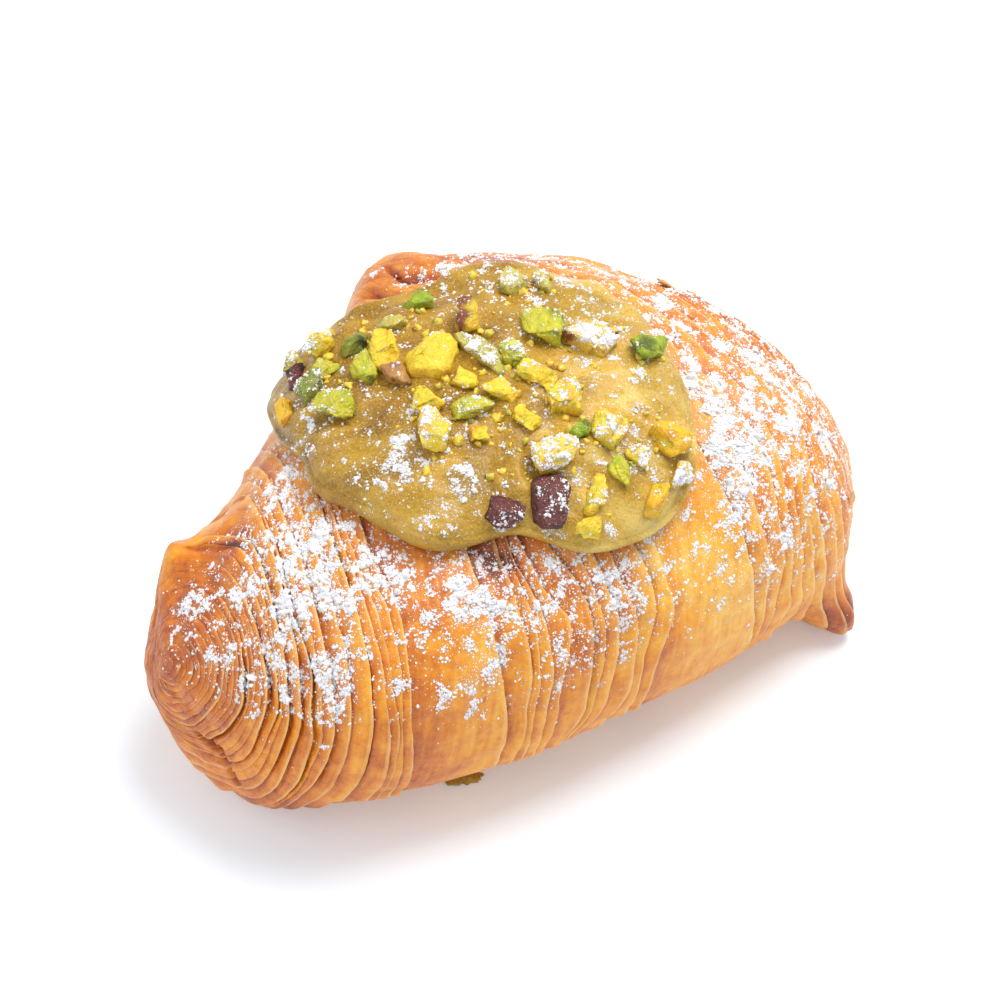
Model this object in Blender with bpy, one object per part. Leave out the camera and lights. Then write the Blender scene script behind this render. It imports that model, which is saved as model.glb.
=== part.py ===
"""Lobster tail pastry: a flattened horn of rolled flaky dough, a pool of pistachio cream laid over
its back, and chopped pistachios pressed on the cream. Made in metres, +Z up, standing on z = 0."""

import math
from collections import namedtuple

import bmesh
import bpy
import numpy as np
from mathutils import Matrix, Vector
from mathutils.bvhtree import BVHTree

# Driving sizes, in millimetres and degrees.
MM = 0.001
SHIFT = (-1.9, -27.6)  # from the drawing to the middle of the footprint

# The horn, as sections cut across it from the rolled tip to the mouth: centre, heading of the roll,
# lean of the section, half width, height, lift above the table, and where it is widest (0 to 1).
Section = namedtuple("Section", "x y heading lean half_width height lift belly")
SECTIONS = (
    Section(-70.0, -13.0, 12, 0.20, 1, 2, 27.0, 0.50),
    Section(-67.0, -12.0, 12, 0.20, 11, 21, 17.0, 0.50),
    Section(-60.0, -10.5, 12, 0.20, 22, 38, 7.0, 0.50),
    Section(-50.0, -7.0, 13, 0.20, 34, 53, 1.0, 0.50),
    Section(-36.0, 2.0, 16, 0.15, 46, 62, -1.0, 0.50),
    Section(-19.0, 15.5, 22, 0.05, 53, 67, -1.5, 0.46),
    Section(-2.5, 31.0, 31, -0.05, 58, 69, -1.5, 0.43),
    Section(13.5, 46.0, 42, -0.10, 60, 69, -1.5, 0.42),
    Section(26.0, 57.0, 50, -0.15, 59, 67, -1.0, 0.40),
    Section(35.0, 67.0, 53, -0.15, 49, 61, 0.0, 0.40),
    Section(41.0, 75.0, 54, -0.15, 37, 48, 4.0, 0.40),
    Section(45.0, 80.0, 54, -0.15, 10, 14, 18.0, 0.40),
)
ROUNDNESS = 2.3  # 2 is an ellipse, more is squarer
AROUND = 44  # points around a section

# Bands of dough that overlap towards the mouth.
BANDS = 24
BAND_STEP = 1.3  # how far a band's lip stands over the next band's root
BAND_DRIFT = 0.3  # unevenness of the bands, as a share of one band

# Folds and corners that swell out of the horn: place along it (0 tip, 1 mouth), angle around it
# (0 near side, 90 top), reach along, reach around, and height.
Swelling = namedtuple("Swelling", "along angle reach spread height")
SWELLINGS = (
    Swelling(0.115, 142, 0.045, 26, 5.5),  # first fold behind the tip
    Swelling(0.16, 130, 0.04, 20, 2.0),
    Swelling(0.12, 150, 0.045, 24, 2.6),
    Swelling(0.255, 150, 0.035, 22, -1.8),
    Swelling(0.33, 155, 0.05, 22, -1.2),
    Swelling(0.20, 305, 0.06, 18, 1.6),  # flap under the near side
    Swelling(0.245, 316, 0.018, 12, -1.6),
    Swelling(0.40, 326, 0.05, 20, -1.2),
    Swelling(0.56, 158, 0.045, 18, 2.6),  # folded far corner of the mouth
    Swelling(0.63, 148, 0.05, 18, 2.2),
    Swelling(0.70, 132, 0.04, 14, -2.4),
    Swelling(0.78, 120, 0.05, 14, -1.5),
    Swelling(0.85, 106, 0.05, 14, -1.4),
    Swelling(0.885, 97, 0.03, 10, -1.0),
    Swelling(0.89, 50, 0.06, 30, 1.6),
    Swelling(0.75, 352, 0.05, 18, -1.0),
    Swelling(0.60, 326, 0.03, 16, 1.4),
    Swelling(0.65, 322, 0.03, 14, 3.0),
    Swelling(0.722, 325, 0.028, 15, 12.5),  # pinched near corner of the mouth
)

# The pool of cream, in plan: centre, mean radius, the stretch of its oval and that one's heading;
# then the bulges and dents of its edge, and its thickness.
CREAM_CENTRE = (-4.0, 21.0)
CREAM_RADIUS = 36.5
CREAM_STRETCH = 3.0
CREAM_HEADING = -20
Bulge = namedtuple("Bulge", "turn spread height")
CREAM_BULGES = (
    Bulge(55, 25, 4.5),
    Bulge(118, 20, -4.5),
    Bulge(150, 18, 3.0),
    Bulge(195, 20, -2.0),
    Bulge(250, 16, 2.5),
    Bulge(283, 14, -4.0),
    Bulge(340, 18, 2.5),
)
CREAM_THICK = 9.0
CREAM_RIM = 5.0  # thickness where the rim starts to round over
CREAM_CLEARANCE = 0.8  # over the dough
CREAM_AROUND = 40
CREAM_RINGS = 9

# Chopped pistachios: place on the cream in plan, length, width, and heading in degrees.
Nut = namedtuple("Nut", "x y length width heading")
NUTS = (
    Nut(-35.5, 42.0, 8.5, 3.6, -25),
    Nut(-35.8, 35.0, 5.8, 5.2, 10),
    Nut(-40.6, 31.0, 5.5, 3.4, 70),
    Nut(-41.5, 37.8, 5.8, 4.0, 100),
    Nut(-42.6, 24.0, 8.0, 3.6, 108),
    Nut(-28.6, 32.5, 5.4, 5.0, 10),
    Nut(-34.0, 28.8, 4.6, 3.8, 30),
    Nut(-36.6, 23.2, 6.0, 4.6, 20),
    Nut(-31.2, 17.4, 7.0, 6.0, -20),
    Nut(-27.0, 24.0, 8.0, 4.6, 108),
    Nut(-22.6, 28.2, 9.5, 4.8, 100),
    Nut(-19.8, 20.4, 6.4, 4.4, 112),
    Nut(-21.0, 36.2, 4.6, 3.8, 150),
    Nut(-13.6, 24.2, 9.2, 8.0, 75),
    Nut(-16.6, 42.0, 5.4, 4.4, 20),
    Nut(-6.0, 34.2, 8.0, 5.8, 108),
    Nut(-3.4, 24.8, 11.5, 3.4, 132),
    Nut(-7.2, 18.4, 6.0, 3.8, 145),
    Nut(2.6, 23.6, 5.6, 4.0, 112),
    Nut(-14.4, 12.6, 6.8, 5.4, 110),
    Nut(-12.4, 4.0, 8.8, 5.4, 80),
    Nut(-5.4, 9.6, 7.8, 3.8, 18),
    Nut(-4.2, 3.2, 4.2, 3.2, 100),
    Nut(0.2, 14.4, 6.4, 4.2, 165),
    Nut(7.2, 18.2, 7.8, 3.6, 140),
    Nut(11.6, 12.5, 8.2, 6.6, 35),
    Nut(2.8, 46.6, 6.4, 4.6, 98),
    Nut(8.4, 47.4, 5.0, 3.8, 102),
    Nut(8.4, 31.6, 8.2, 7.0, 95),
    Nut(17.0, 29.4, 8.2, 6.4, 150),
    Nut(29.4, 29.6, 6.2, 4.8, 15),
    Nut(4.6, 7.8, 5.0, 4.0, 145),
    Nut(15.0, 6.2, 3.8, 3.0, 35),
    Nut(10.0, 1.4, 8.0, 6.4, 30),
    Nut(20.6, 7.0, 8.2, 5.8, 80),
    Nut(32.4, 9.0, 8.2, 5.4, 150),
    Nut(29.8, -2.2, 7.4, 4.0, 98),
    Nut(34.0, 3.6, 5.2, 3.4, 60),
    Nut(22.8, -0.4, 5.8, 3.0, 125),
    Nut(18.2, -5.2, 7.4, 3.8, 95),
    Nut(17.0, -10.2, 5.0, 3.8, 10),
    Nut(26.6, 3.4, 5.2, 3.4, 135),
    Nut(9.4, -7.4, 9.0, 6.2, 105),
    Nut(1.0, -10.0, 6.4, 5.2, 135),
)
NUT_THICK = 0.75  # of its width
NUT_CLEARANCE = 0.45  # over the cream
NUT_CORNERS = 18
GOLDEN_ANGLE = math.pi * (3 - math.sqrt(5))

COLOURS = {
    "pastry": ((0.62, 0.33, 0.13), 0.55),
    "cream": ((0.48, 0.35, 0.11), 0.40),
    "pistachio": ((0.50, 0.46, 0.08), 0.60),
}


def clear_scene():
    for thing in list(bpy.data.objects):
        bpy.data.objects.remove(thing, do_unlink=True)


def material(name):
    colour, roughness = COLOURS[name]
    made = bpy.data.materials.new(name)
    made.use_nodes = True
    shader = made.node_tree.nodes["Principled BSDF"]
    shader.inputs["Base Color"].default_value = (*colour, 1)
    shader.inputs["Roughness"].default_value = roughness
    shader.inputs["Metallic"].default_value = 0
    return made


def add_object(name, bm, finish, flat_angle=40):
    """Makes a bmesh, whose sizes are in millimetres, into a named object in metres."""
    bmesh.ops.recalc_face_normals(bm, faces=bm.faces)
    bmesh.ops.triangulate(bm, faces=bm.faces)
    bmesh.ops.scale(bm, vec=(MM, MM, MM), verts=bm.verts)
    mesh = bpy.data.meshes.new(name)
    bm.to_mesh(mesh)
    bm.free()
    mesh.shade_smooth()
    mesh.set_sharp_from_angle(angle=math.radians(flat_angle))
    mesh.materials.append(finish)
    made = bpy.data.objects.new(name, mesh)
    bpy.context.scene.collection.objects.link(made)
    return made


def eased(values, place):
    """Reads a row of values as a smooth curve; place runs from 0 to 1 along it."""
    spot = min(max(place, 0), 1) * (len(values) - 1)
    i = min(int(spot), len(values) - 2)
    t = spot - i
    slopes = np.gradient(values)
    return (
        (2 * t**3 - 3 * t**2 + 1) * values[i]
        + (t**3 - 2 * t**2 + t) * slopes[i]
        + (3 * t**2 - 2 * t**3) * values[i + 1]
        + (t**3 - t**2) * slopes[i + 1]
    )


def swelling_at(along, angle):
    total = 0.0
    for fold in SWELLINGS:
        turn = (angle - fold.angle + 180) % 360 - 180
        total += fold.height * math.exp(
            -((along - fold.along) / fold.reach) ** 2 - (turn / fold.spread) ** 2
        )
    return total


def horn_point(along, angle, inset=0.0):
    """A point on the horn: along from tip (0) to mouth (1), angle in degrees around the section."""
    x, y, heading, lean, half_width, height, lift, belly = (
        eased(column, along) for column in zip(*SECTIONS)
    )
    grow = swelling_at(along, angle) - inset
    half_width = max(half_width + grow, 0.5)
    c, s = math.cos(math.radians(angle)), math.sin(math.radians(angle))
    across = math.copysign(abs(c) ** (2 / ROUNDNESS), c) * half_width
    up = math.copysign(abs(s) ** (2 / ROUNDNESS), s)
    above = max(height * (1 - belly) + grow, 0.5)
    below = max(height * belly + grow, 0.5)
    rise = up * (above if up > 0 else below)
    turn = math.radians(heading)
    forward = Vector((math.cos(turn), math.sin(turn), 0))
    side = Vector((math.sin(turn), -math.cos(turn), 0))
    point = Vector((x + SHIFT[0], y + SHIFT[1], lift + height * belly))
    point += side * across + forward * rise * lean + Vector((0, 0, rise))
    point.z = max(point.z, 0.0)
    return point


def rings_mesh(rings):
    """Skins a stack of closed rings, with a middle point at each end."""
    bm = bmesh.new()
    loops = [[bm.verts.new(p) for p in ring] for ring in rings]
    count = len(rings[0])
    for low, high in zip(loops, loops[1:]):
        for i in range(count):
            j = (i + 1) % count
            bm.faces.new((low[i], low[j], high[j], high[i]))
    for loop in (loops[0], loops[-1]):
        middle = bm.verts.new(sum((v.co for v in loop), Vector()) / count)
        for i in range(count):
            bm.faces.new((loop[i], loop[(i + 1) % count], middle))
    return bm


def band_edges():
    """Where the bands' lips lie along the horn, unevenly spaced."""
    edges = [
        (k + BAND_DRIFT * math.sin(2.4 * k)) / BANDS for k in range(1, BANDS)
    ]
    return [0.0, *edges, 1.0]


def horn_rings():
    """Each band has a root, a crown and a lip; its lip stands BAND_STEP over the next root."""
    rings = []
    angles = [360 * k / AROUND for k in range(AROUND)]
    edges = band_edges()
    for start, end in zip(edges, edges[1:]):
        width = end - start
        for share, depth in ((0.12, 1.0), (0.5, 0.35), (0.96, 0.0)):
            fade = min(1.0, start * 8 + 0.25) if end < 1 else 0.4
            rings.append(
                [horn_point(start + width * share, a, BAND_STEP * depth * fade) for a in angles]
            )
    return rings


def smooth_horn_tree():
    """The horn's outer skin without its bands, for laying the cream on."""
    steps, around = 80, 96
    points = [
        horn_point(i / (steps - 1), 360 * k / around)
        for i in range(steps)
        for k in range(around)
    ]
    faces = [
        (i * around + k, i * around + (k + 1) % around, (i + 1) * around + (k + 1) % around, (i + 1) * around + k)
        for i in range(steps - 1)
        for k in range(around)
    ]
    return BVHTree.FromPolygons(points, faces)


def drop_on(tree, x, y, probe=2.0):
    """The point under (x, y) on a skin seen from above, and the skin's slope there, evened out."""
    high = 200.0
    down = Vector((0, 0, -1))
    spots = []
    for dx, dy in ((0, 0), (probe, 0), (-probe, 0), (0, probe), (0, -probe)):
        hit = tree.ray_cast(Vector((x + dx, y + dy, high)), down)[0]
        spots.append(hit)
    centre = spots[0]
    east, west, north, south = (s if s is not None else centre for s in spots[1:])
    normal = (east - west).cross(north - south).normalized()
    return centre, normal if normal.z > 0 else -normal


def cream_reach(turn):
    """The pool's outline in plan, as a radius at an angle in degrees."""
    reach = CREAM_RADIUS + CREAM_STRETCH * math.cos(2 * math.radians(turn - CREAM_HEADING))
    for bulge in CREAM_BULGES:
        off = (turn - bulge.turn + 180) % 360 - 180
        reach += bulge.height * math.exp(-((off / bulge.spread) ** 2))
    return reach


def cream_rings(tree):
    """Rings of the pool from the middle of its underside, round the rim, to the middle of its top."""
    bottom = [(share, 0.0) for share in (0.12, 0.4, 0.7, 0.93)]
    rim = [(1.0, 0.2 * CREAM_RIM), (1.04, 0.55 * CREAM_RIM), (1.0, 0.95 * CREAM_RIM)]
    top = []
    for k in range(CREAM_RINGS):
        share = 0.94 * (1 - k / (CREAM_RINGS - 1)) + 0.05
        swell = math.sqrt(max(1 - share**2.6, 0))
        top.append((share, CREAM_RIM * 1.05 + (CREAM_THICK - CREAM_RIM) * swell))
    rings = []
    for share, thick in bottom + rim + top:
        ring = []
        for k in range(CREAM_AROUND):
            turn = 2 * math.pi * k / CREAM_AROUND
            reach = cream_reach(math.degrees(turn))
            inner = min(share, 1.0) * reach
            x = CREAM_CENTRE[0] + SHIFT[0] + inner * math.cos(turn)
            y = CREAM_CENTRE[1] + SHIFT[1] + inner * math.sin(turn)
            centre, normal = drop_on(tree, x, y)
            out = Vector((math.cos(turn), math.sin(turn), 0)) * (share - inner / reach) * reach
            ring.append(centre + normal * (CREAM_CLEARANCE + thick) + out)
        rings.append(ring)
    return rings


def tree_of(rings):
    bm = rings_mesh(rings)
    tree = BVHTree.FromBMesh(bm)
    bm.free()
    return tree


def nut_mesh(nut, index, tree):
    """One broken kernel: a hull of points in a rounded block, flat where it sits on the cream."""
    half = Vector((nut.length / 2, nut.width / 2, nut.width * NUT_THICK / 2))
    bm = bmesh.new()
    for k in range(NUT_CORNERS):
        up = 1 - 2 * (k + 0.5) / NUT_CORNERS
        ring = math.sqrt(1 - up * up)
        turn = GOLDEN_ANGLE * k + index
        corner = Vector((ring * math.cos(turn), ring * math.sin(turn), up))
        corner *= 1 + 0.14 * math.sin(3.1 * k + 1.7 * index)
        corner = Vector([math.copysign(abs(v) ** 0.7, v) for v in corner])
        corner.z = max(corner.z, -0.8)
        bm.verts.new(Vector([a * b for a, b in zip(corner, half)]))
    bmesh.ops.convex_hull(bm, input=bm.verts)
    loose = [v for v in bm.verts if not v.link_faces]
    bmesh.ops.delete(bm, geom=loose, context="VERTS")
    centre, normal = drop_on(tree, nut.x + SHIFT[0], nut.y + SHIFT[1])
    spin = Matrix.Rotation(math.radians(nut.heading), 4, "Z")
    tilt = Vector((0, 0, 1)).rotation_difference(normal).to_matrix().to_4x4()
    held = centre + normal * nut.length
    bmesh.ops.transform(bm, matrix=Matrix.Translation(held) @ tilt @ spin, verts=bm.verts)
    gaps = [tree.ray_cast(v.co, -normal)[3] for v in bm.verts]
    drop = min(gap for gap in gaps if gap is not None) - NUT_CLEARANCE
    bmesh.ops.translate(bm, vec=-normal * drop, verts=bm.verts)
    return bm


def build():
    clear_scene()
    finishes = {name: material(name) for name in COLOURS}
    add_object("pastry", rings_mesh(horn_rings()), finishes["pastry"])
    cream = cream_rings(smooth_horn_tree())
    add_object("pistachio_cream", rings_mesh(cream), finishes["cream"])
    cream_tree = tree_of(cream)
    for index, nut in enumerate(NUTS, start=1):
        add_object(f"pistachio_{index:02d}", nut_mesh(nut, index, cream_tree), finishes["pistachio"])


build()
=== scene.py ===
import math

import bmesh
import bpy
import numpy as np
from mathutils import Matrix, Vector
from mathutils.bvhtree import BVHTree


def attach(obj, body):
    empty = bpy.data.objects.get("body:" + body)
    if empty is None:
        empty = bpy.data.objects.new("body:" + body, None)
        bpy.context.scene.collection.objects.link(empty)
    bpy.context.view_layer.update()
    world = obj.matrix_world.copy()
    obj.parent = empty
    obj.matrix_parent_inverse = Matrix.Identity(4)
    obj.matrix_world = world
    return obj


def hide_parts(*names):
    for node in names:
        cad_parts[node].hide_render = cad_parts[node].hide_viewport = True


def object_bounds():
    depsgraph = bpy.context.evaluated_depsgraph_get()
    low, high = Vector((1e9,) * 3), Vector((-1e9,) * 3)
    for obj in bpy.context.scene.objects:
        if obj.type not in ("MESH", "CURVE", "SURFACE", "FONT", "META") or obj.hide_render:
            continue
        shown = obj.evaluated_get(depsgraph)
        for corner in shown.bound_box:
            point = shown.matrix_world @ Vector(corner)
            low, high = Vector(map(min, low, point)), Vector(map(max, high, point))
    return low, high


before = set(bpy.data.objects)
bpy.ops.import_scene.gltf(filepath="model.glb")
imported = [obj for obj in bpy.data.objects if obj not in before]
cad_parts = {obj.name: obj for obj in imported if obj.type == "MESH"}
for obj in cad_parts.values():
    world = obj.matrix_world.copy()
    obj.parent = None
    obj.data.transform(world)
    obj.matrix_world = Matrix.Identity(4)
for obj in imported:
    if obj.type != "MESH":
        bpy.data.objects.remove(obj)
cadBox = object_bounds()

# A lobster tail pastry: a horn of thin rolled dough layers, a pool of pistachio cream on its back,
# chopped pistachios pressed on the cream, and powdered sugar sifted over all of it.
# Lengths are in millimetres here and become metres when a mesh is made.
mm = 0.001
boxLow, boxHigh = (np.array(corner) / mm for corner in cadBox)


# the horn that the layers follow

horn = {
    # from the rolled tip to the mouth: x, y, heading, lean, half width, height, lift, widest at
    "sections": (
        (-71.9, -40.6, 12, 0.20, 1, 2, 27.0, 0.50),
        (-68.9, -39.6, 12, 0.20, 11, 21, 17.0, 0.50),
        (-61.9, -38.1, 12, 0.20, 22, 38, 7.0, 0.50),
        (-51.9, -34.6, 13, 0.20, 34, 53, 1.0, 0.50),
        (-37.9, -25.6, 16, 0.15, 46, 62, -1.0, 0.50),
        (-20.9, -12.1, 22, 0.05, 53, 67, -1.5, 0.46),
        (-4.4, 3.4, 31, -0.05, 58, 69, -1.5, 0.43),
        (11.6, 18.4, 42, -0.10, 60, 69, -1.5, 0.42),
        (24.1, 29.4, 50, -0.15, 59, 67, -1.0, 0.40),
        (33.1, 39.4, 53, -0.15, 49, 61, 0.0, 0.40),
        (39.1, 47.4, 54, -0.15, 37, 48, 4.0, 0.40),
        (43.1, 52.4, 54, -0.15, 10, 14, 18.0, 0.40),
    ),
    "roundness": 2.3,  # 2 is an ellipse, more is squarer
    # folds and corners that swell out: along, angle, reach along, reach around, height
    "swellings": (
        (0.115, 142, 0.045, 26, 5.5),
        (0.16, 130, 0.04, 20, 2.0),
        (0.12, 150, 0.045, 24, 2.6),
        (0.20, 126, 0.035, 18, 1.4),
        (0.255, 150, 0.035, 22, -1.8),
        (0.33, 155, 0.05, 22, -1.2),
        (0.20, 305, 0.06, 18, 1.6),
        (0.245, 316, 0.018, 12, -1.6),
        (0.40, 326, 0.05, 20, -1.2),
        (0.56, 158, 0.045, 18, 2.6),
        (0.63, 148, 0.05, 18, 2.2),
        (0.70, 132, 0.04, 14, -2.4),
        (0.78, 120, 0.05, 14, -1.5),
        (0.85, 106, 0.05, 14, -1.4),
        (0.885, 97, 0.03, 10, -1.0),
        (0.89, 50, 0.06, 30, 1.6),
        (0.75, 352, 0.05, 18, -1.0),
        (0.60, 326, 0.03, 16, 1.4),
        (0.65, 322, 0.03, 14, 3.0),
        (0.722, 325, 0.028, 15, 12.5),
    ),
    "eyeAlong": 0.075,  # the eye of the roll sits on the near side of the tip
    "eyeAngle": 40,
    "eyeReach": 0.34,  # beyond this the layers lie square to the horn
}


def readRow(values, place):  # a row of values read as a smooth curve, place from 0 to 1
    values = np.asarray(values, float)
    slopes = np.gradient(values)
    spot = np.clip(place, 0, 1) * (len(values) - 1)
    i = np.minimum(spot.astype(int), len(values) - 2)
    t = spot - i
    return (
        (2 * t**3 - 3 * t**2 + 1) * values[i]
        + (t**3 - 2 * t**2 + t) * slopes[i]
        + (3 * t**2 - 2 * t**3) * values[i + 1]
        + (t**3 - t**2) * slopes[i + 1]
    )


def apart(angle, other):  # signed degrees from other to angle
    return (angle - other + 180) % 360 - 180


def bell(angle, place, spread, power=2):  # 1 at a place around the horn, and less away from it
    return np.exp(-((apart(angle, place) / spread) ** power))


def hornPoint(along, angle):  # along 0 tip to 1 mouth, and on to 1.1 where the mouth is folded shut
    shut = np.clip((along - 1) / 0.1, 0, 0.99)  # angle 0 is the near side, 90 the top
    x, y, heading, lean, halfWidth, height, lift, widest = (
        readRow(column, along) for column in zip(*horn["sections"])
    )
    grow = np.zeros_like(along)
    for place, turn, reach, spread, rise in horn["swellings"]:
        grow += rise * np.exp(-(((along - place) / reach) ** 2) - (apart(angle, turn) / spread) ** 2)
    c, s = np.cos(np.radians(angle)), np.sin(np.radians(angle))
    power = 2 / horn["roundness"]
    across = np.sign(c) * np.abs(c) ** power * np.maximum(halfWidth + grow, 0.5)
    part = np.where(s > 0, 1 - widest, widest)
    rise = np.sign(s) * np.abs(s) ** power * np.maximum(height * part + grow, 0.5)
    turn = np.radians(heading)
    across, rise, bulge = across * (1 - shut), rise * (1 - shut), 1.2 * shut * (2 - shut)
    px = x + np.sin(turn) * across + np.cos(turn) * (rise * lean + bulge)
    py = y - np.cos(turn) * across + np.sin(turn) * (rise * lean + bulge)
    return np.stack([px, py, np.maximum(lift + height * widest + rise, 0)], -1)


def doughPoint(level, angle):  # as hornPoint, with the rings near the tip centred on the roll's eye
    fade = np.clip(1 - (level / horn["eyeReach"]) ** 2, 0, 1) ** 2
    eye, turn = math.radians(horn["eyeAngle"]), np.radians(angle)
    a = level * np.cos(turn) + horn["eyeAlong"] * math.cos(eye) * fade
    b = level * np.sin(turn) + horn["eyeAlong"] * math.sin(eye) * fade
    return hornPoint(np.hypot(a, b), np.degrees(np.arctan2(b, a)) % 360)


def doughFrame(level, angle):  # the point, the outward normal, and the way to the mouth
    point = doughPoint(level, angle)
    step, turn = 0.003, 1.2
    low = np.maximum(level - step, 0.0005)
    along = doughPoint(level + step, angle) - doughPoint(low, angle)
    around = doughPoint(level, angle + turn) - doughPoint(level, angle - turn)
    length = np.linalg.norm(along, axis=-1, keepdims=True) + 1e-9
    normal = np.cross(along, around)
    normal /= np.linalg.norm(normal, axis=-1, keepdims=True) + 1e-9
    return point, normal, along / length


# making meshes


def makeObject(name, points, faceSets, material, floats=None, vectors=None, corners=None):
    # points in millimetres; faceSets are arrays of corners; corners is one (u, v) for each face corner
    mesh = bpy.data.meshes.new(name)
    mesh.vertices.add(len(points))
    mesh.vertices.foreach_set("co", (np.asarray(points) * mm).ravel())
    order = np.concatenate([faces.ravel() for faces in faceSets])
    starts, at = [], 0
    for faces in faceSets:
        starts.append(at + np.arange(len(faces)) * faces.shape[1])
        at += faces.size
    mesh.loops.add(len(order))
    mesh.loops.foreach_set("vertex_index", order.astype(np.int32))
    mesh.polygons.add(sum(len(faces) for faces in faceSets))
    mesh.polygons.foreach_set("loop_start", np.concatenate(starts).astype(np.int32))
    mesh.update(calc_edges=True)
    mesh.shade_smooth()
    for kind, field, given in (("FLOAT", "value", floats), ("FLOAT_VECTOR", "vector", vectors)):
        for key, values in (given or {}).items():
            layer = mesh.attributes.new(key, kind, "POINT")
            layer.data.foreach_set(field, np.asarray(values, np.float32).ravel())
    if corners is not None:
        mesh.uv_layers.new(name="OFBake").data.foreach_set("uv", np.asarray(corners, np.float32).ravel())
    mesh.materials.append(material)
    made = bpy.data.objects.new(name, mesh)
    bpy.context.scene.collection.objects.link(made)
    return made


def ringQuads(rings, around):
    i, j = np.meshgrid(np.arange(rings - 1), np.arange(around), indexing="ij")
    here, after = i * around, (i + 1) * around
    k = (j + 1) % around
    return np.stack([here + j, after + j, after + k, here + k], -1).reshape(-1, 4)


# soft noise through space, about -1 to 1; the size is in mm, one or three
def lumps(points, size, seed):
    count = 14  # waves that are added up
    rng = np.random.default_rng(seed)
    turns = rng.normal(size=(count, 3))
    turns /= np.linalg.norm(turns, axis=1, keepdims=True)
    turns *= rng.uniform(0.7, 1.4, (count, 1)) * 2 * math.pi / np.asarray(size, float)
    total = np.zeros(points.shape[:-1])
    for turn in turns:
        total += np.sin(points @ turn + rng.uniform(0, 2 * math.pi))
    return total / math.sqrt(count / 2) / 1.6


def icoBall(subdivisions):  # the points and the triangles of a ball of radius 1
    mesh = bpy.data.meshes.new("ball")
    bm = bmesh.new()
    bmesh.ops.create_icosphere(bm, subdivisions=subdivisions, radius=1)
    bm.to_mesh(mesh)
    bm.free()
    points = np.array([vertex.co for vertex in mesh.vertices])
    corners = np.array([face.vertices[:] for face in mesh.polygons])
    bpy.data.meshes.remove(mesh)
    return points, corners


# powdered sugar: where it fell

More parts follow.
